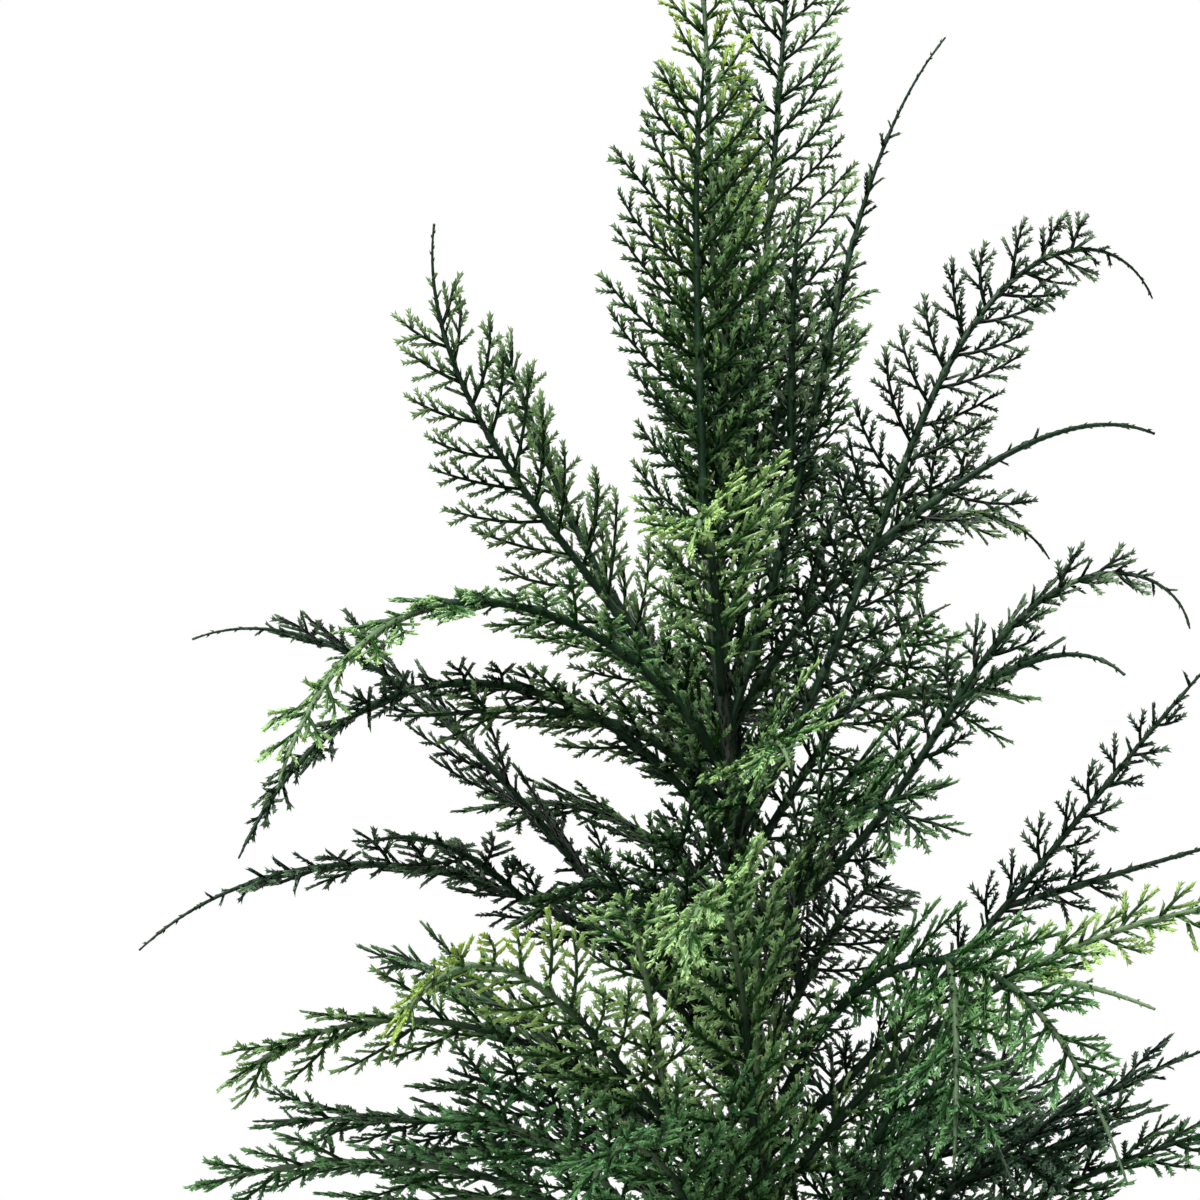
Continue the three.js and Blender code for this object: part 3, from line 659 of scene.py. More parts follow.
class CYPRESS_OT_fill(bpy.types.Operator):
    """Press grit into the top of the fill, just inside the pot"""
    bl_idname = "cypress.fill"
    bl_label = "Fill"

    def execute(self, context):
        s = context.scene.cypress_fill
        foot, (edge, _, top) = FILL_BOX[0][2], FILL_BOX[1]
        sides, rings = FILL["sides"], FILL["rings"]
        rng = np.random.default_rng(11)
        radius = np.linspace(1, FILL["middle"], rings) * edge
        turn = 2 * np.pi * np.arange(sides) / sides
        plan = radius[:, None, None] * np.stack([np.cos(turn), np.sin(turn)], axis=-1)
        # height: a slope up from the edge to a level top, and a round cap on each bit of grit
        level = top - FILL["dome"] * (1 - np.clip((1 - radius / edge) / FILL["dome_edge"], 0, 1))[:, None]
        spots = rng.uniform(-edge, edge, (s.grains, 2))
        spots = spots[np.linalg.norm(spots, axis=1) < edge]
        gap, owner = (values.reshape(rings, sides) for values in nearest(plan.reshape(-1, 2), spots))
        cap = np.sqrt(np.clip(1 - (gap / (s.grain / MM / 2)) ** 2, 0, 1))
        calm = np.clip((edge - radius) / FILL["calm_edge"], 0, 1)
        calm = calm * np.clip(radius / FILL["calm_middle"], 0, 1)
        z = level + (cap - 1) * s.relief / MM * calm[:, None]
        skin = np.concatenate([plan, z[..., None]], axis=-1)
        narrow = (edge - FILL["foot_inset"]) / edge
        under = skin[0] * np.array([narrow, narrow, 0]) + np.array([0, 0, foot])
        points = np.vstack([under, skin.reshape(-1, 3), [0, 0, foot], [0, 0, top - s.relief / MM]])
        tones = rng.random(len(spots))[owner]
        marks = {"raised": np.concatenate([np.zeros(sides), cap.ravel(), [0, 0]]),
                 "grit": np.concatenate([np.zeros(sides), tones.ravel(), [0, 0]])}
        faces = [quads(rings + 1, sides), caps(rings + 1, sides)]
        piece = new_piece("pot_fill", points, faces, True, marks)
        dress(piece, pressed_grit(s), "fill", "fill")
        return {"FINISHED"}


# ---- trunk, boughs and stems ----

BARK = {"sides": 48, "rings": 420, "closer_below": 1.15, "full_depth_radius": 8.0, "broken": 0.3}
# What sleeved, pressed and the stems' operator use: millimetres, sides, and
# shares of a radius or a length; collar_steps are the extra rings at a joint.
SLEEVE = {"step": 9.0, "collar_steps": (-4, -2.2, -0.7, 0, 0.7, 2.2, 4), "first_joint": 0.7,
          "collar": 2.4, "groove": 0.5, "groove_depth": 0.6, "mark": 3.0, "full_collar_radius": 1.6,
          "thinnest": 0.75, "whip_end": 0.45, "whip_thinnest": 0.3,
          "knot_step": 2.2, "knots": 4.6, "knot": 0.12,
          "foot": 2.0, "foot_on_end": 0.2, "overlap": 1, "bough_sides": 12, "main_sides": 8, "fork_sides": 6}
PRESSED = {"stray": 0.4, "lean": (16, 34), "width": 1.5, "thick": 1.0, "sunk": 0.8, "joint": 0.8,
           "place": (-0.5, 0.5), "size": (0.75, 1.25), "main_start": 7.0, "fork_start": 4.0, "tip_gap": 3,
           "trunk_lean": (14, 32), "trunk_width": 1.9, "trunk_thick": 1.1, "trunk_sunk": 0.93,
           "trunk_size": (0.9, 1.6), "trunk_tone": 0.3, "trunk_gap": 4, "trunk_closer": 0.3,
           "whip_wider": 1.6, "whip_thick": 0.7, "whip_length": 0.6}


def moulded_bark(s):
    """Dull bark with painted shade, dark, in the furrows, and paler and darker stretches of ridge."""
    shader = Shader("moulded bark", Roughness=0.7)
    sunk, fine = shader.mark("ridge"), shader.noise(380.0, 5.0, 0.65)
    ridges = shader.blend(shader.noise(14.0, 3.0), shade(s.colour, 0.7), shade(s.colour, 1.15))
    raised = shader.between(sunk + fine * 0.5, 0.35, 1.05)
    # painted shade: the dark furrow colour where the ridge mark is low
    shader.set(Base_Color=shader.blend(raised, full(s.painted_furrow_shade), ridges), Roughness=0.55 + fine * 0.3)
    shader.bump(fine, 0.5, 0.0005)
    return shader.material


class CYPRESS_OT_trunk(bpy.types.Operator):
    """Raise the trunk with its upright furrows"""
    bl_idname = "cypress.trunk"
    bl_label = "Trunk"

    def execute(self, context):
        s = context.scene.cypress_trunk
        sides, rings = BARK["sides"], BARK["rings"]
        z = mix(TRUNK["foot"], TRUNK["top"], np.linspace(0, 1, rings) ** BARK["closer_below"])
        up, turn = z[:, None], 2 * np.pi * np.arange(sides) / sides
        # furrows: a sine round the trunk that wanders as it rises, sharpened by
        # taking it without its sign, and made shallower in turn by a quicker wave
        wander = 0.9 * np.sin(up / 34) + 0.5 * np.sin(up / 11 + 2 * turn)
        ridge = np.abs(np.sin(s.furrows * turn / 2 + wander))
        wave = np.sin(up / 6.5 + 3 * np.sin(2 * turn + up / 40))
        depth = s.depth / MM * np.minimum(1, trunk_radius(up) / BARK["full_depth_radius"]) * (1 - ridge)
        radius = trunk_radius(up) - depth * (1 - BARK["broken"] + BARK["broken"] * wave)
        centre = trunk_at(z)
        skin = centre[:, None] + np.stack([radius * np.cos(turn), radius * np.sin(turn), 0 * radius], axis=-1)
        points = np.vstack([skin.reshape(-1, 3), centre[:1], centre[-1:]])
        marks = {"ridge": np.concatenate([ridge.ravel(), [0, 0]])}
        faces = [quads(rings, sides), caps(rings, sides)]
        piece = new_piece("trunk_bark", points, faces, True, marks)
        dress(piece, moulded_bark(s), "bark", "trunk")
        return {"FINISHED"}


def tone_of(shoot, at):
    """How far a stem is towards the palest, from 0 to 1, by its spray's tint;
    a main stem starts dark and reaches that tone three quarters of the way out."""
    tone = (shoot.spray["tint"] - 1) / (len(TINTS) - 1)
    if shoot.is_main():
        return tone * np.clip(3.2 * at / shoot.length - 1.4, 0, 1)
    return np.full(np.shape(at), tone)


def sleeved(shoot, start, end, sides, s, pile):
    """A stem of threaded sleeves: the limb's taper with a collar at each joint,
    split by a fine groove; beyond the foliage a whip with even knots."""
    sleeve, leafy = s.sleeve / MM, shoot.length - shoot.whip
    joints = np.arange(sleeve * SLEEVE["first_joint"], shoot.length, sleeve)[:, None]
    at = np.concatenate([np.arange(start, end, SLEEVE["step"]), [end],
                         (joints + SLEEVE["collar_steps"]).ravel(),
                         np.arange(leafy, end, SLEEVE["knot_step"])])
    at = np.unique(np.round(at[(at >= start) & (at <= end)], 2))
    away = np.abs(at - joints).min(axis=0)
    groove = SLEEVE["groove_depth"] * np.exp(-(away / SLEEVE["groove"]) ** 2)
    collar = np.exp(-(away / SLEEVE["collar"]) ** 4) - groove
    past = np.clip((at - leafy) / max(shoot.whip, 1), 0, 1)
    knots = SLEEVE["knot"] * np.sin(at * 2 * np.pi / SLEEVE["knots"]) * (past > 0)
    limb = np.maximum(shoot.thick(np.minimum(at, leafy)), SLEEVE["thinnest"])
    radius = np.maximum(limb * mix(1, SLEEVE["whip_end"], past), SLEEVE["whip_thinnest"]) * (1 + knots)
    radius = radius + collar * s.collar / MM * np.minimum(1, radius / SLEEVE["full_collar_radius"])
    centres, frames = shoot.at(at)
    points, wall, ends = tubes(centres[None], frames[None, :, 1], frames[None, :, 2], radius[None], sides)
    pile.add(points, wall, ends, joint=np.repeat(np.exp(-(away / SLEEVE["mark"]) ** 2), sides),
             tone=np.repeat(tone_of(shoot, at), sides))


def lay_scales(middle, axis, radial, radius, lean, size, shape, tone, pile):
    """Adds small scales round a stem: each foot stands out from the middle by the
    radius, and each tip leans from the stem's axis towards its own side."""
    ahead = axis * np.cos(lean) + radial * np.sin(lean)
    feet = middle + radial * radius[:, None]
    points, faces = spikes(feet, ahead, unit(np.cross(radial, ahead)), size, *shape)
    corners = len(points) // len(middle)
    pile.add(points, faces, joint=np.tile([0, 0, 0, PRESSED["joint"]], len(middle)),
             tone=np.repeat(tone, corners))


def pressed(shoot, start, rng, s, pile):
    """Small scales pressed to a stem, each turned on round it from the last and
    leaning a little away; shorter and further apart on the whip."""
    whip_start, step = shoot.length - shoot.whip, s.pressed / MM
    at = np.concatenate([np.arange(start, whip_start, step),
                         np.arange(whip_start, shoot.length - PRESSED["tip_gap"],
                                   step * PRESSED["whip_wider"])])
    at = at + rng.uniform(*PRESSED["place"], len(at))
    centres, frames = shoot.at(at)
    turn = spiral(len(at), PRESSED["stray"], rng)[:, None]
    radial = frames[:, 1] * np.cos(turn) + frames[:, 2] * np.sin(turn)
    on_whip = at > whip_start
    radius = shoot.thick(np.minimum(at, whip_start)) * np.where(on_whip, PRESSED["whip_thick"], 1)
    lean = np.radians(rng.uniform(*PRESSED["lean"], len(at)))[:, None]
    share = np.where(on_whip, PRESSED["whip_length"], 1)
    size = s.scale / MM * share * rng.uniform(*PRESSED["size"], len(at))
    lay_scales(centres, frames[:, 0], radial, radius * PRESSED["sunk"], lean, size,
               (PRESSED["width"], PRESSED["thick"]), tone_of(shoot, at), pile)


def trunk_scales(s, pile):
    """Pressed scales round the trunk within the crown, in an even spiral."""
    rng = np.random.default_rng(31)
    top = TRUNK["top"] - PRESSED["trunk_gap"]
    z = np.arange(s.scales_from / MM, top, s.pressed / MM * PRESSED["trunk_closer"])
    turn = spiral(len(z), PRESSED["stray"], rng)
    radial = np.stack([np.cos(turn), np.sin(turn), 0 * z], axis=-1)
    lean = np.radians(rng.uniform(*PRESSED["trunk_lean"], len(z)))[:, None]
    size = s.scale / MM * rng.uniform(*PRESSED["trunk_size"], len(z))
    shape, tone = (PRESSED["trunk_width"], PRESSED["trunk_thick"]), np.full(len(z), PRESSED["trunk_tone"])
    lay_scales(trunk_at(z), np.array([0.0, 0.0, 1.0]), radial, trunk_radius(z) * PRESSED["trunk_sunk"],
               lean, size, shape, tone, pile)


def sleeve_plastic(s):
    """Satin plastic, dark, greyer at the joints and where it is rubbed."""
    shader = Shader("sleeve plastic", Roughness=0.5, Specular_IOR_Level=0.12)
    patches, fine = shader.noise(26.0, 4.0, 0.6), shader.noise(650.0, 3.0)
    worn = shader.between(patches + shader.mark("joint") * 0.25, 0.5, 0.8)
    dark = shader.blend(fine, shade(s.colour, 0.7), shade(s.colour, 1.3))
    tinted = shader.blend(shader.between(shader.mark("tone"), 0.4, 1.4), dark, full(s.fresh))
    shader.set(Base_Color=shader.blend(worn * 0.25, tinted, full(s.worn)), Roughness=0.4 + fine * 0.25)
    shader.bump(fine, 0.3, 0.0002)
    return shader.material


class CYPRESS_OT_stems(bpy.types.Operator):
    """Thread the boughs and the stems of the sprays with plastic sleeves"""
    bl_idname = "cypress.stems"
    bl_label = "Boughs and stems"

    def execute(self, context):
        s = context.scene.cypress_stems
        plastic = sleeve_plastic(s)
        rng = np.random.default_rng(23)
        boughs, stems, scales = Pile(), Pile(), Pile()
        for shoot in grow():
            kind = "main" if shoot.is_main() else "fork"
            bare = shoot.spray["bare"] if shoot.is_main() else 0
            if bare:
                sleeved(shoot, SLEEVE["foot"], bare + SLEEVE["overlap"], SLEEVE["bough_sides"], s, boughs)
            starts_at_end = shoot.leafy < 1  # on the trunk's tip, or a fork on its limb
            foot = bare or (SLEEVE["foot_on_end"] if starts_at_end else SLEEVE["foot"])
            sleeved(shoot, foot, shoot.length, SLEEVE[f"{kind}_sides"], s, stems)
            pressed(shoot, PRESSED[f"{kind}_start"], rng, s, scales)
        trunk_scales(s, scales)
        bough_nodes = [f"{spray['name']}_bough" for spray in SPRAYS if spray["bare"]]
        dress(boughs.piece("bare_boughs"), plastic, "bark", *bough_nodes)
        spray_nodes = [f"{spray['name']}_spray" for spray in SPRAYS]
        dress(stems.piece("spray_stems"), plastic, "bark", *spray_nodes)
        dress(scales.piece("stem_scales", smooth=False), plastic, "bark", *spray_nodes)
        return {"FINISHED"}


# ---- branchlets, twigs and scales ----

TWIG = {"kinds": ((5, 1.0), (4, 0.76), (3, 0.5)), "variants": 3, "breaks": (0.62, 0.86),
        "first_pair": 0.24, "set_back": 0.6, "lean": 36.0, "rib": (0.5, 0.4), "foot": 5.0,
        "last": 0.97, "angle": 40}
STEM_TWIG = {"fork_start": 10.0, "start": 18.0, "into_whip": 0.6, "on_whip": 0.55, "lean": (26, 46),
             "place": (-1.5, 1.5), "turn": 0.5, "size": (0.55, 0.9), "sweep": (-0.15, 0.15),
             "bend": (-0.3, 0), "age": (0, 0.5)}
# What is drawn at random for each branchlet and each of its twigs, from the least
# to the most: millimetres for a place, degrees for an angle, shares for the rest.
DRAWN = {"place": (-1.6, 1.6), "length": (0.88, 1.08), "first_angle": (-8, 8), "last_angle": (-7, 7),
         "rise": (-26, 26), "lift": (-0.1, 0.06), "twig_place": (-0.9, 0.9), "twig_length": (0.8, 1.12),
         "twig_angle": (-8, 8), "twig_twist": (-24, 24), "sweep": (0.02, 0.2), "bend": (-0.14, 0.1)}
RIB_TAPER = (0.6, 0.55, 0.5, 0.45, 0.35)  # a branchlet's rib, from its foot to its tip


def twig_template(pairs, reach, s, seed):
    """One moulded twig along +x: a three-sided rib, and pointed scales that leave
    it in pairs, leaning forward, with the last pair and one more at its tip."""
    rng = np.random.default_rng(seed)
    feet = np.append(np.repeat(reach * np.linspace(1.0, TWIG["first_pair"], pairs), 2), reach)
    feet = feet - s.scale / MM * TWIG["set_back"] + rng.uniform(-0.4, 0.4, len(feet))
    side = np.append(np.tile([1.0, -1.0], pairs), 0.0)
    angle = np.radians(TWIG["lean"] + rng.uniform(-7, 7, len(feet)))
    rise = rng.uniform(-0.35, 0.35, len(feet))
    ahead = unit(np.stack([np.cos(angle * np.abs(side)), side * np.sin(angle), rise], axis=-1))
    across = unit(np.cross([0.0, 0.0, 1.0], ahead))
    size, width = s.scale / MM * rng.uniform(0.85, 1.15, len(feet)), s.scale_width / MM
    scales = spikes(feet[:, None] * np.eye(3)[0], ahead, across, size, width, width * 0.7)
    line = np.array([[[0, 0, 0], [reach, 0, 0]]], float)
    y, z = (np.broadcast_to(np.eye(3)[k], line.shape) for k in (1, 2))
    points, wall, ends = tubes(line, y, z, s.rib / MM * np.array([TWIG["rib"]]), 3)
    rib = (points, np.concatenate([wall[:, [0, 1, 2]], wall[:, [0, 2, 3]], ends]))
    # painted light and shade: painted shade at the feet, paler as painted highlight with the way along the
    # twig, each scale lit or shaded at random, and most at each tip
    tone = feet / reach * 0.7 + rng.uniform(-0.3, 0.3, len(feet))
    grown = (tone[:, None] + [0, 0, 0, 0.3]).ravel()
    return {"reach": reach, "scales": (*scales, grown), "ribs": (*rib, points[:, 0] / reach * 0.6)}


def place_many(shape, reach, origin, axes, size, sweep, bend):
    """A template repeated: each point goes x along, y plus a sweep that grows
    with x squared across, and z plus a bend that grows with x squared out."""
    points, faces, grown = shape
    x, y, z = points.T
    curve = (x / reach) ** 2 * reach
    local = np.stack([np.broadcast_to(x, (len(origin), len(x))), y + sweep[:, None] * curve,
                      z + bend[:, None] * curve], axis=-1)
    moved = origin[:, None] + size[:, None, None] * np.einsum("mvk,mkc->mvc", local, axes)
    index = faces + len(points) * np.arange(len(origin))[:, None, None]
    return moved.reshape(-1, 3), index.reshape(-1, 3), np.tile(grown, len(origin))


def branchlets_on(shoot, rng, s):
    """Where branchlets leave a shoot, on alternate sides: for each its centre and
    three directions, its side, its length, its first and last angle from the
    shoot, how far it rises out of the flat, and how far along the foliage it is."""
    start = BRANCHLET["lowest"]
    if shoot.is_main():
        start = max(start, shoot.first - BRANCHLET["clear_of_root"])
        if shoot.leafy < 1:  # on the trunk's tip
            start = BRANCHLET["leader_lowest"]
    end = shoot.length - shoot.whip
    at = np.arange(start, end - BRANCHLET["end_gap"], s.branchlets / MM)
    at = at + rng.uniform(*DRAWN["place"], len(at))
    u = np.clip((at - shoot.first) / max(1.0, end - shoot.first), 0, 1)
    swell = np.sin(np.pi * mix(*BRANCHLET["swell"], u))
    size = BRANCHLET["length"] * shoot.spray["width"] * mix(BRANCHLET["shortest"], 1, swell)
    size = size * rng.uniform(*DRAWN["length"], len(at))
    side = np.where(np.arange(len(at)) % 2, -1.0, 1.0)
    angle = np.stack([BRANCHLET[end_of] - BRANCHLET["closing"] * u + rng.uniform(*DRAWN[end_of], len(at))
                      for end_of in ("first_angle", "last_angle")], axis=-1)
    rise = rng.uniform(*DRAWN["rise"], len(at))
    if not shoot.whip:  # one more that ends the shoot
        at = np.append(at, end - BRANCHLET["ending_gap"])
        u, side, rise = np.append(u, 1), np.append(side, 1), np.append(rise, 0)
        size = np.append(size, BRANCHLET["length"] * BRANCHLET["ending"])
        angle = np.vstack([angle, BRANCHLET["ending_angles"]])
    centres, frames = shoot.at(at)
    return centres, frames, side, size, np.radians(angle), np.radians(rise), u


def spread(shoot, rng, s):
    """The branchlets of one shoot as bent ribs, and the twigs that leave them.

    A branchlet's heading turns evenly from its first to its last angle, so that
    its place at a part of its length is length / turn times the change of the
    angle's sine along the stem and of its cosine across it, and it lifts with
    that part squared."""
    centres, frames, side, size, angle, rise, u = branchlets_on(shoot, rng, s)
    ahead = frames[:, 0]
    flat = frames[:, 1] * (side * np.cos(rise))[:, None] + frames[:, 2] * np.sin(rise)[:, None]
    normal = np.cross(ahead, flat)
    lift = rng.uniform(*DRAWN["lift"], len(side))

    def along(part):
        """Centres and headings at parts of each branchlet, a row of them for each."""
        first, turn = angle[:, :1], angle[:, 1:] - angle[:, :1]
        theta = first + turn * part
        x = size[:, None] / turn * (np.sin(theta) - np.sin(first))
        y = -size[:, None] / turn * (np.cos(theta) - np.cos(first))
        z = size[:, None] * lift[:, None] * part ** 2
        place = (centres[:, None] + x[..., None] * ahead[:, None] + y[..., None] * flat[:, None]
                 + z[..., None] * normal[:, None])
        return place, theta

    def towards(heading):
        """The direction at each heading from the stem's, in the branchlet's flat."""
        return np.cos(heading)[..., None] * ahead[:, None] + np.sin(heading)[..., None] * flat[:, None]

    many, rings = len(side), len(RIB_TAPER)
    place, theta = along(np.linspace(0, 1, rings)[None])
    across = towards(theta + np.pi / 2)
    out = np.broadcast_to(normal[:, None], across.shape)
    ribs = tubes(place, across, out, s.rib / MM * np.broadcast_to(RIB_TAPER, (many, rings)), 3)

    spacing = s.twigs / MM
    count = int(np.ceil(size.max() / spacing)) + 1
    away = TWIG["foot"] + spacing * np.arange(count) + rng.uniform(*DRAWN["twig_place"], (many, count))
    part = away / size[:, None]
    place, theta = along(part)
    way = np.where(np.arange(count) % 2, -1.0, 1.0) * side[:, None]
    way = way * np.where(rng.random(many) < 0.5, -1.0, 1.0)[:, None]
    keep = part < TWIG["last"]
    # twigs are longest a fifth of the way out, and half that at the branchlet's tip
    share = np.clip(0.7 + part * 2, 0, 1) * (1 - 0.5 * np.clip((part - 0.2) / 0.8, 0, 1))
    length = s.twig / MM * share * rng.uniform(*DRAWN["twig_length"], part.shape)
    heading = theta + way * np.radians(TWIG["angle"] + rng.uniform(*DRAWN["twig_angle"], part.shape))
    # the twig that ends each branchlet goes straight on
    last = keep & ~np.roll(keep, -1, axis=1)
    heading = np.where(last, theta, heading)
    a, b = towards(heading)[keep], towards(heading + np.pi / 2)[keep]
    twist = np.radians(rng.uniform(*DRAWN["twig_twist"], len(a)))[:, None]
    n = np.cross(a, b)
    b, n = b * np.cos(twist) + n * np.sin(twist), n * np.cos(twist) - b * np.sin(twist)
    sweep = -way[keep] * rng.uniform(*DRAWN["sweep"], len(a))
    bend = rng.uniform(*DRAWN["bend"], len(a))
    # age: further out along the shoot, at random and by the spray's FADED share; it lessens the painted shade
    # and raises the painted highlight
    age = (0.35 * u + 0.3 * rng.random(many))[:, None] + 0.35 * part + FADED.get(shoot.spray["name"], 0.0)
    yellow = YELLOWED.get(shoot.owner, 0.0) * np.clip(3 * u - 1.2, 0, 1)[:, None]
    twigs = {"origin": place[keep], "axes": np.stack([a, b, n], axis=1), "size": length[keep],
             "sweep": sweep, "bend": bend, "age": age[keep], "yellow": (yellow + 0 * part)[keep]}
    return ribs, np.repeat(0.35 * u, 3 * rings), twigs


def clothing(shoot, rng, s):
    """Short twigs straight off a stem, each turned on round it from the last."""
    start = STEM_TWIG["start"] if shoot.is_main() else STEM_TWIG["fork_start"]
    at = np.arange(start, shoot.length - shoot.whip * STEM_TWIG["into_whip"], s.clothing / MM)
    at = at + rng.uniform(*STEM_TWIG["place"], len(at))
    centres, frames = shoot.at(at)
    turn = spiral(len(at), STEM_TWIG["turn"], rng)[:, None]
    radial = frames[:, 1] * np.cos(turn) + frames[:, 2] * np.sin(turn)
    lean = np.radians(rng.uniform(*STEM_TWIG["lean"], len(at)))[:, None]
    a = frames[:, 0] * np.cos(lean) + radial * np.sin(lean)
    b = np.cross(frames[:, 0], radial)
    share = np.where(at > shoot.length - shoot.whip, STEM_TWIG["on_whip"], 1)
    drawn = {name: rng.uniform(*STEM_TWIG[name], len(at)) for name in ("size", "sweep", "bend", "age")}
    return {"origin": centres, "axes": np.stack([a, b, np.cross(a, b)], axis=1),
            "size": s.twig / MM * drawn["size"] * share, "sweep": drawn["sweep"], "bend": drawn["bend"],
            "age": drawn["age"] + FADED.get(shoot.spray["name"], 0.0), "yellow": 0.0 * at}


def foliage_plastic(name, base, yellow):
    """Satin moulded plastic: painted shade, nearly black green, in the ribs' feet, the base
    colour, bluer in patches, on the twigs, and painted highlights, paler scale tips, on the far
    branchlets. Low sprays take a bluer, darker painted shade by their mark, and the painted sprays turn
    yellow towards their tips by theirs."""
    def tinted(colour, red, green, blue):
        """A colour with its three shares scaled apart."""
        return full((colour[0] * red, colour[1] * green, colour[2] * blue))

    shader = Shader(name, Roughness=0.5, Specular_IOR_Level=0.1)
    grown, age, cool = (shader.mark(mark) for mark in ("grown", "age", "cool"))
    patches, fine = shader.noise(17.0, 3.0, 0.55), shader.noise(420.0, 2.0)
    # out: from the painted shade at the feet of the ribs and scales to the twigs' own colour
    out = shader.between(grown + age * 0.25 + fine * 0.2, 0.3, 0.85)
    # fresh: how much painted highlight a point takes, in patches; pale: its colour, the paler scale tips
    fresh = shader.between(grown * 0.6 + age * 0.4 + patches * 0.6, 0.65, 1.2)
    pale = [part * 1.5 + more for part, more in zip(base, (0.115, 0.145, 0.08))]
    twigs = shader.blend(shader.between(patches, 0.35, 0.62), tinted(base, 0.6, 0.85, 1.1), full(base))
    # painted shade: nearly black green where out is low
    body = shader.blend(out, tinted(base, 0.06, 0.17, 0.06), twigs)
    # painted shade on the low sprays by their mark: bluer and darker
    body = shader.blend(cool * out, body, tinted(base, 0.35, 0.7, 1.4))
    # the painted highlights turn darker and bluer with that painted shade
    tips = shader.blend(cool, full(pale), tinted(pale, 0.45, 0.7, 0.75))
    green = shader.blend(fresh, body, tips)
    shader.set(Base_Color=shader.blend(shader.mark("yellow") * out, green, full(yellow)),
               Roughness=0.36 + fine * 0.2)
    shader.bump(fine, 0.25, 0.0002)
    return shader.material


def clear_of(twigs, others):
    """Which twigs keep their room from the other limbs' points and the trunk."""
    ahead = twigs["axes"][:, 0] * twigs["size"][:, None]
    middle, tips = twigs["origin"] + ahead * 0.5, twigs["origin"] + ahead
    clear = (nearest(middle, others)[0] > ROOM["middle"]) & (nearest(tips, others)[0] > ROOM["tip"])
    height = middle[:, 2]
    from_trunk = np.hypot(*(middle - trunk_at(height))[:, :2].T)
    return clear & ((from_trunk > trunk_radius(height) + ROOM["trunk"]) | (height > TRUNK["top"]))


def fill_spray(number, shoots, claimed, templates, s):
    """The ribs and the scales of one spray, each kind in a pile of its own."""
    spray, ribs, scales = SPRAYS[number], Pile(), Pile()
    # how much bluer, darker painted shade a spray takes by the height of its foot
    cool = np.interp(spray["height"], [LOW_SHADE["full_below"], LOW_SHADE["none_above"]], [LOW_SHADE["most"], 0])
    if spray["tint"] == len(TINTS) or spray["name"] in FADED:
        cool = 0.0
    for i, shoot in enumerate(shoot for shoot in shoots if shoot.spray is spray):
        rng = np.random.default_rng(1000 + 37 * number + i)
        others = np.vstack([points for owner, points in claimed if owner != shoot.owner])
        (points, wall, ends), tone, twigs = spread(shoot, rng, s)
        extra = clothing(shoot, rng, s)
        twigs = {key: np.concatenate([twigs[key], extra[key]]) for key in twigs}
        # the branchlets' own ribs take no painted light, only the full painted shade
        ribs.add(points, wall, ends, grown=0.0, age=tone, yellow=0.0, cool=cool)
        clear = clear_of(twigs, others)
        # the longer a twig, the more pairs of scales its template has
        bands = len(TWIG["breaks"]) - np.digitize(twigs["size"] * MM / s.twig, TWIG["breaks"])
        pick = bands * TWIG["variants"] + rng.integers(0, TWIG["variants"], len(bands))
        for j, template in enumerate(templates):
            chosen = clear & (pick == j)
            if not chosen.any():
                continue
            some = {key: values[chosen] for key, values in twigs.items()}
            size = some["size"] / template["reach"]
            for pile, kind in ((ribs, "ribs"), (scales, "scales")):
                points, faces, grown = place_many(template[kind], template["reach"], some["origin"],
                                                  some["axes"], size, some["sweep"], some["bend"])
                corners = len(points) // len(size)
                pile.add(points, faces, grown=grown, age=np.repeat(some["age"], corners),
                         yellow=np.repeat(some["yellow"], corners), cool=cool)
    return ribs, scales


class CYPRESS_OT_foliage(bpy.types.Operator):
    """Grow branchlets, twigs and scales on every stem, joined by kind and tint"""
    bl_idname = "cypress.foliage"
    bl_label = "Foliage"

    def execute(self, context):
        s = context.scene.cypress_foliage
        shoots = grow()
        claimed = [(shoot.owner, shoot.points()) for shoot in shoots]
        templates = [twig_template(pairs, s.twig / MM * part, s, 7 * pairs + k)
                     for pairs, part in TWIG["kinds"] for k in range(TWIG["variants"])]
        for number, tint in enumerate(TINTS, 1):
            material = foliage_plastic(f"{tint} foliage", getattr(s, tint), s.yellow)
            batches = [((Pile(), Pile()), [])]
            for k, spray in enumerate(SPRAYS):
                if spray["tint"] != number:
                    continue
                new = fill_spray(k, shoots, claimed, templates, s)
                if batches[-1][0][1].triangles() + new[1].triangles() > LIMIT:
                    batches.append(((Pile(), Pile()), []))
                piles, nodes = batches[-1]
                for pile, more in zip(piles, new):
                    pile.take(more)
                nodes.append(f"{spray['name']}_spray")
            for made, (piles, nodes) in enumerate(batches, 1):
                for pile, kind in zip(piles, ("ribs", "scales")):
                    piece = pile.piece(f"{tint}_{kind}_{made}", smooth=kind == "ribs")
                    dress(piece, material, f"foliage_{tint}", *nodes)
        return {"FINISHED"}


# ---- studio ----

FLOOR_DEPTH = 20.0  # millimetres
# Each light: where it hangs, what it is aimed at, how wide it is, and its setting.
LIGHTS = (("overhead", (-0.5, -0.7, 3.3), (-0.05, 0, 0.7), 1.9, "overhead"),
          ("front", (-1.1, -2.9, 1.9), (0, 0, 0.8), 1.4, "front"),
          ("behind", (1.6, 2.7, 2.2), (0, 0, 0.5), 2.2, "behind"))
EYE = (-0.095, -2.0, 0.865)  # the camera, level and looking along +Y
SENSOR = 36.0


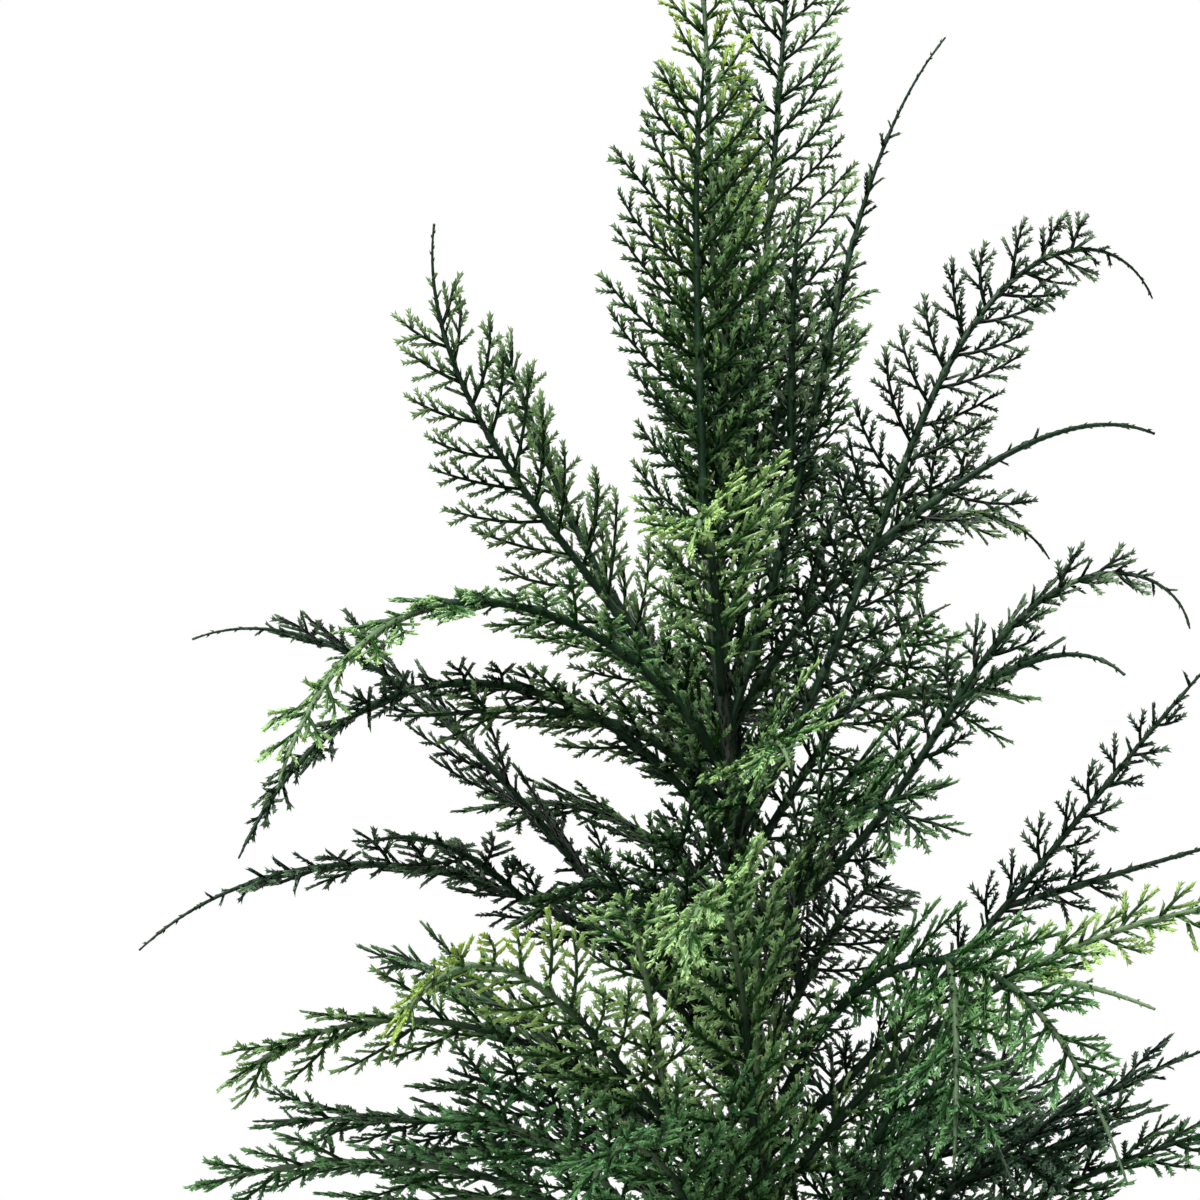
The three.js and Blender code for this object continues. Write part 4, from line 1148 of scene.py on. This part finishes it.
def bright_room(surround):
    """A white world, plain where the camera sees it and as bright as the
    surround where it lights the object."""
    world = bpy.data.worlds.new("bright room")
    world.use_nodes = True
    tree = world.node_tree
    background = tree.nodes["Background"]
    background.inputs["Color"].default_value = (1, 1, 1, 1)
    seen = tree.nodes.new("ShaderNodeLightPath")
    strength = tree.nodes.new("ShaderNodeMapRange")
    strength.inputs["To Min"].default_value = surround
    tree.links.new(seen.outputs["Is Camera Ray"], strength.inputs["Value"])
    tree.links.new(strength.outputs[0], background.inputs["Strength"])
    return world


class CYPRESS_OT_studio(bpy.types.Operator):
    """Lay the pale floor, hang the soft lights and set the camera"""
    bl_idname = "cypress.studio"
    bl_label = "Studio"

    def execute(self, context):
        s = context.scene.cypress_studio
        scene = context.scene
        scene.view_settings.view_transform = "Standard"
        scene.view_settings.look = "None"
        edge = s.floor_radius / MM
        points, faces = turned(np.array([(0, -FLOOR_DEPTH), (edge, -FLOOR_DEPTH), (edge, 0), (0, 0)]), 128)
        floor = new_piece("studio_floor", points, faces, False)
        shader = Shader("pale floor", Roughness=0.85)
        shader.set(Base_Color=shader.blend(shader.noise(3.0, 3.0), shade(s.floor, 0.97), full(s.floor)))
        floor.data.materials.append(shader.material)
        scene.world = bright_room(s.surround)
        for name, place, aim, size, power in LIGHTS:
            data = bpy.data.lights.new(name, "AREA")
            data.shape, data.size, data.energy = "DISK", size, getattr(s, power)
            light = bpy.data.objects.new(name, data)
            light.location = place
            light.rotation_euler = (Vector(aim) - Vector(place)).to_track_quat("-Z", "Y").to_euler()
            scene.collection.objects.link(light)

        data = bpy.data.cameras.new("camera")
        data.lens, data.sensor_width, data.clip_end = s.lens, SENSOR, 50.0
        camera = bpy.data.objects.new("camera", data)
        camera.location = EYE
        camera.rotation_euler = (math.pi / 2, 0, 0)
        scene.collection.objects.link(camera)
        scene.camera = camera
        return {"FINISHED"}


# ---- panel and registration ----

SETTINGS = {"cypress_pot": PotSettings, "cypress_fill": FillSettings, "cypress_trunk": TrunkSettings,
            "cypress_stems": StemSettings, "cypress_foliage": FoliageSettings,
            "cypress_studio": StudioSettings}
OPERATORS = (CYPRESS_OT_pot, CYPRESS_OT_fill, CYPRESS_OT_trunk, CYPRESS_OT_stems,
             CYPRESS_OT_foliage, CYPRESS_OT_studio)


class CYPRESS_PT_parts(bpy.types.Panel):
    """The parts of the cypress with their settings"""
    bl_idname = "CYPRESS_PT_parts"
    bl_label = "Potted cypress"
    bl_space_type = "VIEW_3D"
    bl_region_type = "UI"
    bl_category = "Cypress"

    def draw(self, context):
        for operator, name in zip(OPERATORS, SETTINGS):
            part = self.layout.box()
            part.operator(operator.bl_idname)
            settings = getattr(context.scene, name)
            for key in settings.__annotations__:
                part.prop(settings, key)


CLASSES = (*SETTINGS.values(), *OPERATORS, CYPRESS_PT_parts)


def register():
    """Makes the classes and their settings known."""
    for cls in CLASSES:
        bpy.utils.register_class(cls)
    for name, group in SETTINGS.items():
        setattr(bpy.types.Scene, name, PointerProperty(type=group))


def unregister():
    """Takes the settings and the classes away again."""
    for name in SETTINGS:
        delattr(bpy.types.Scene, name)
    for cls in reversed(CLASSES):
        bpy.utils.unregister_class(cls)


def main():
    """Builds every part in turn."""
    register()
    for operator in OPERATORS:
        group, name = operator.bl_idname.split(".")
        getattr(getattr(bpy.ops, group), name)()
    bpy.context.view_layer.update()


if __name__ == "__main__":
    main()
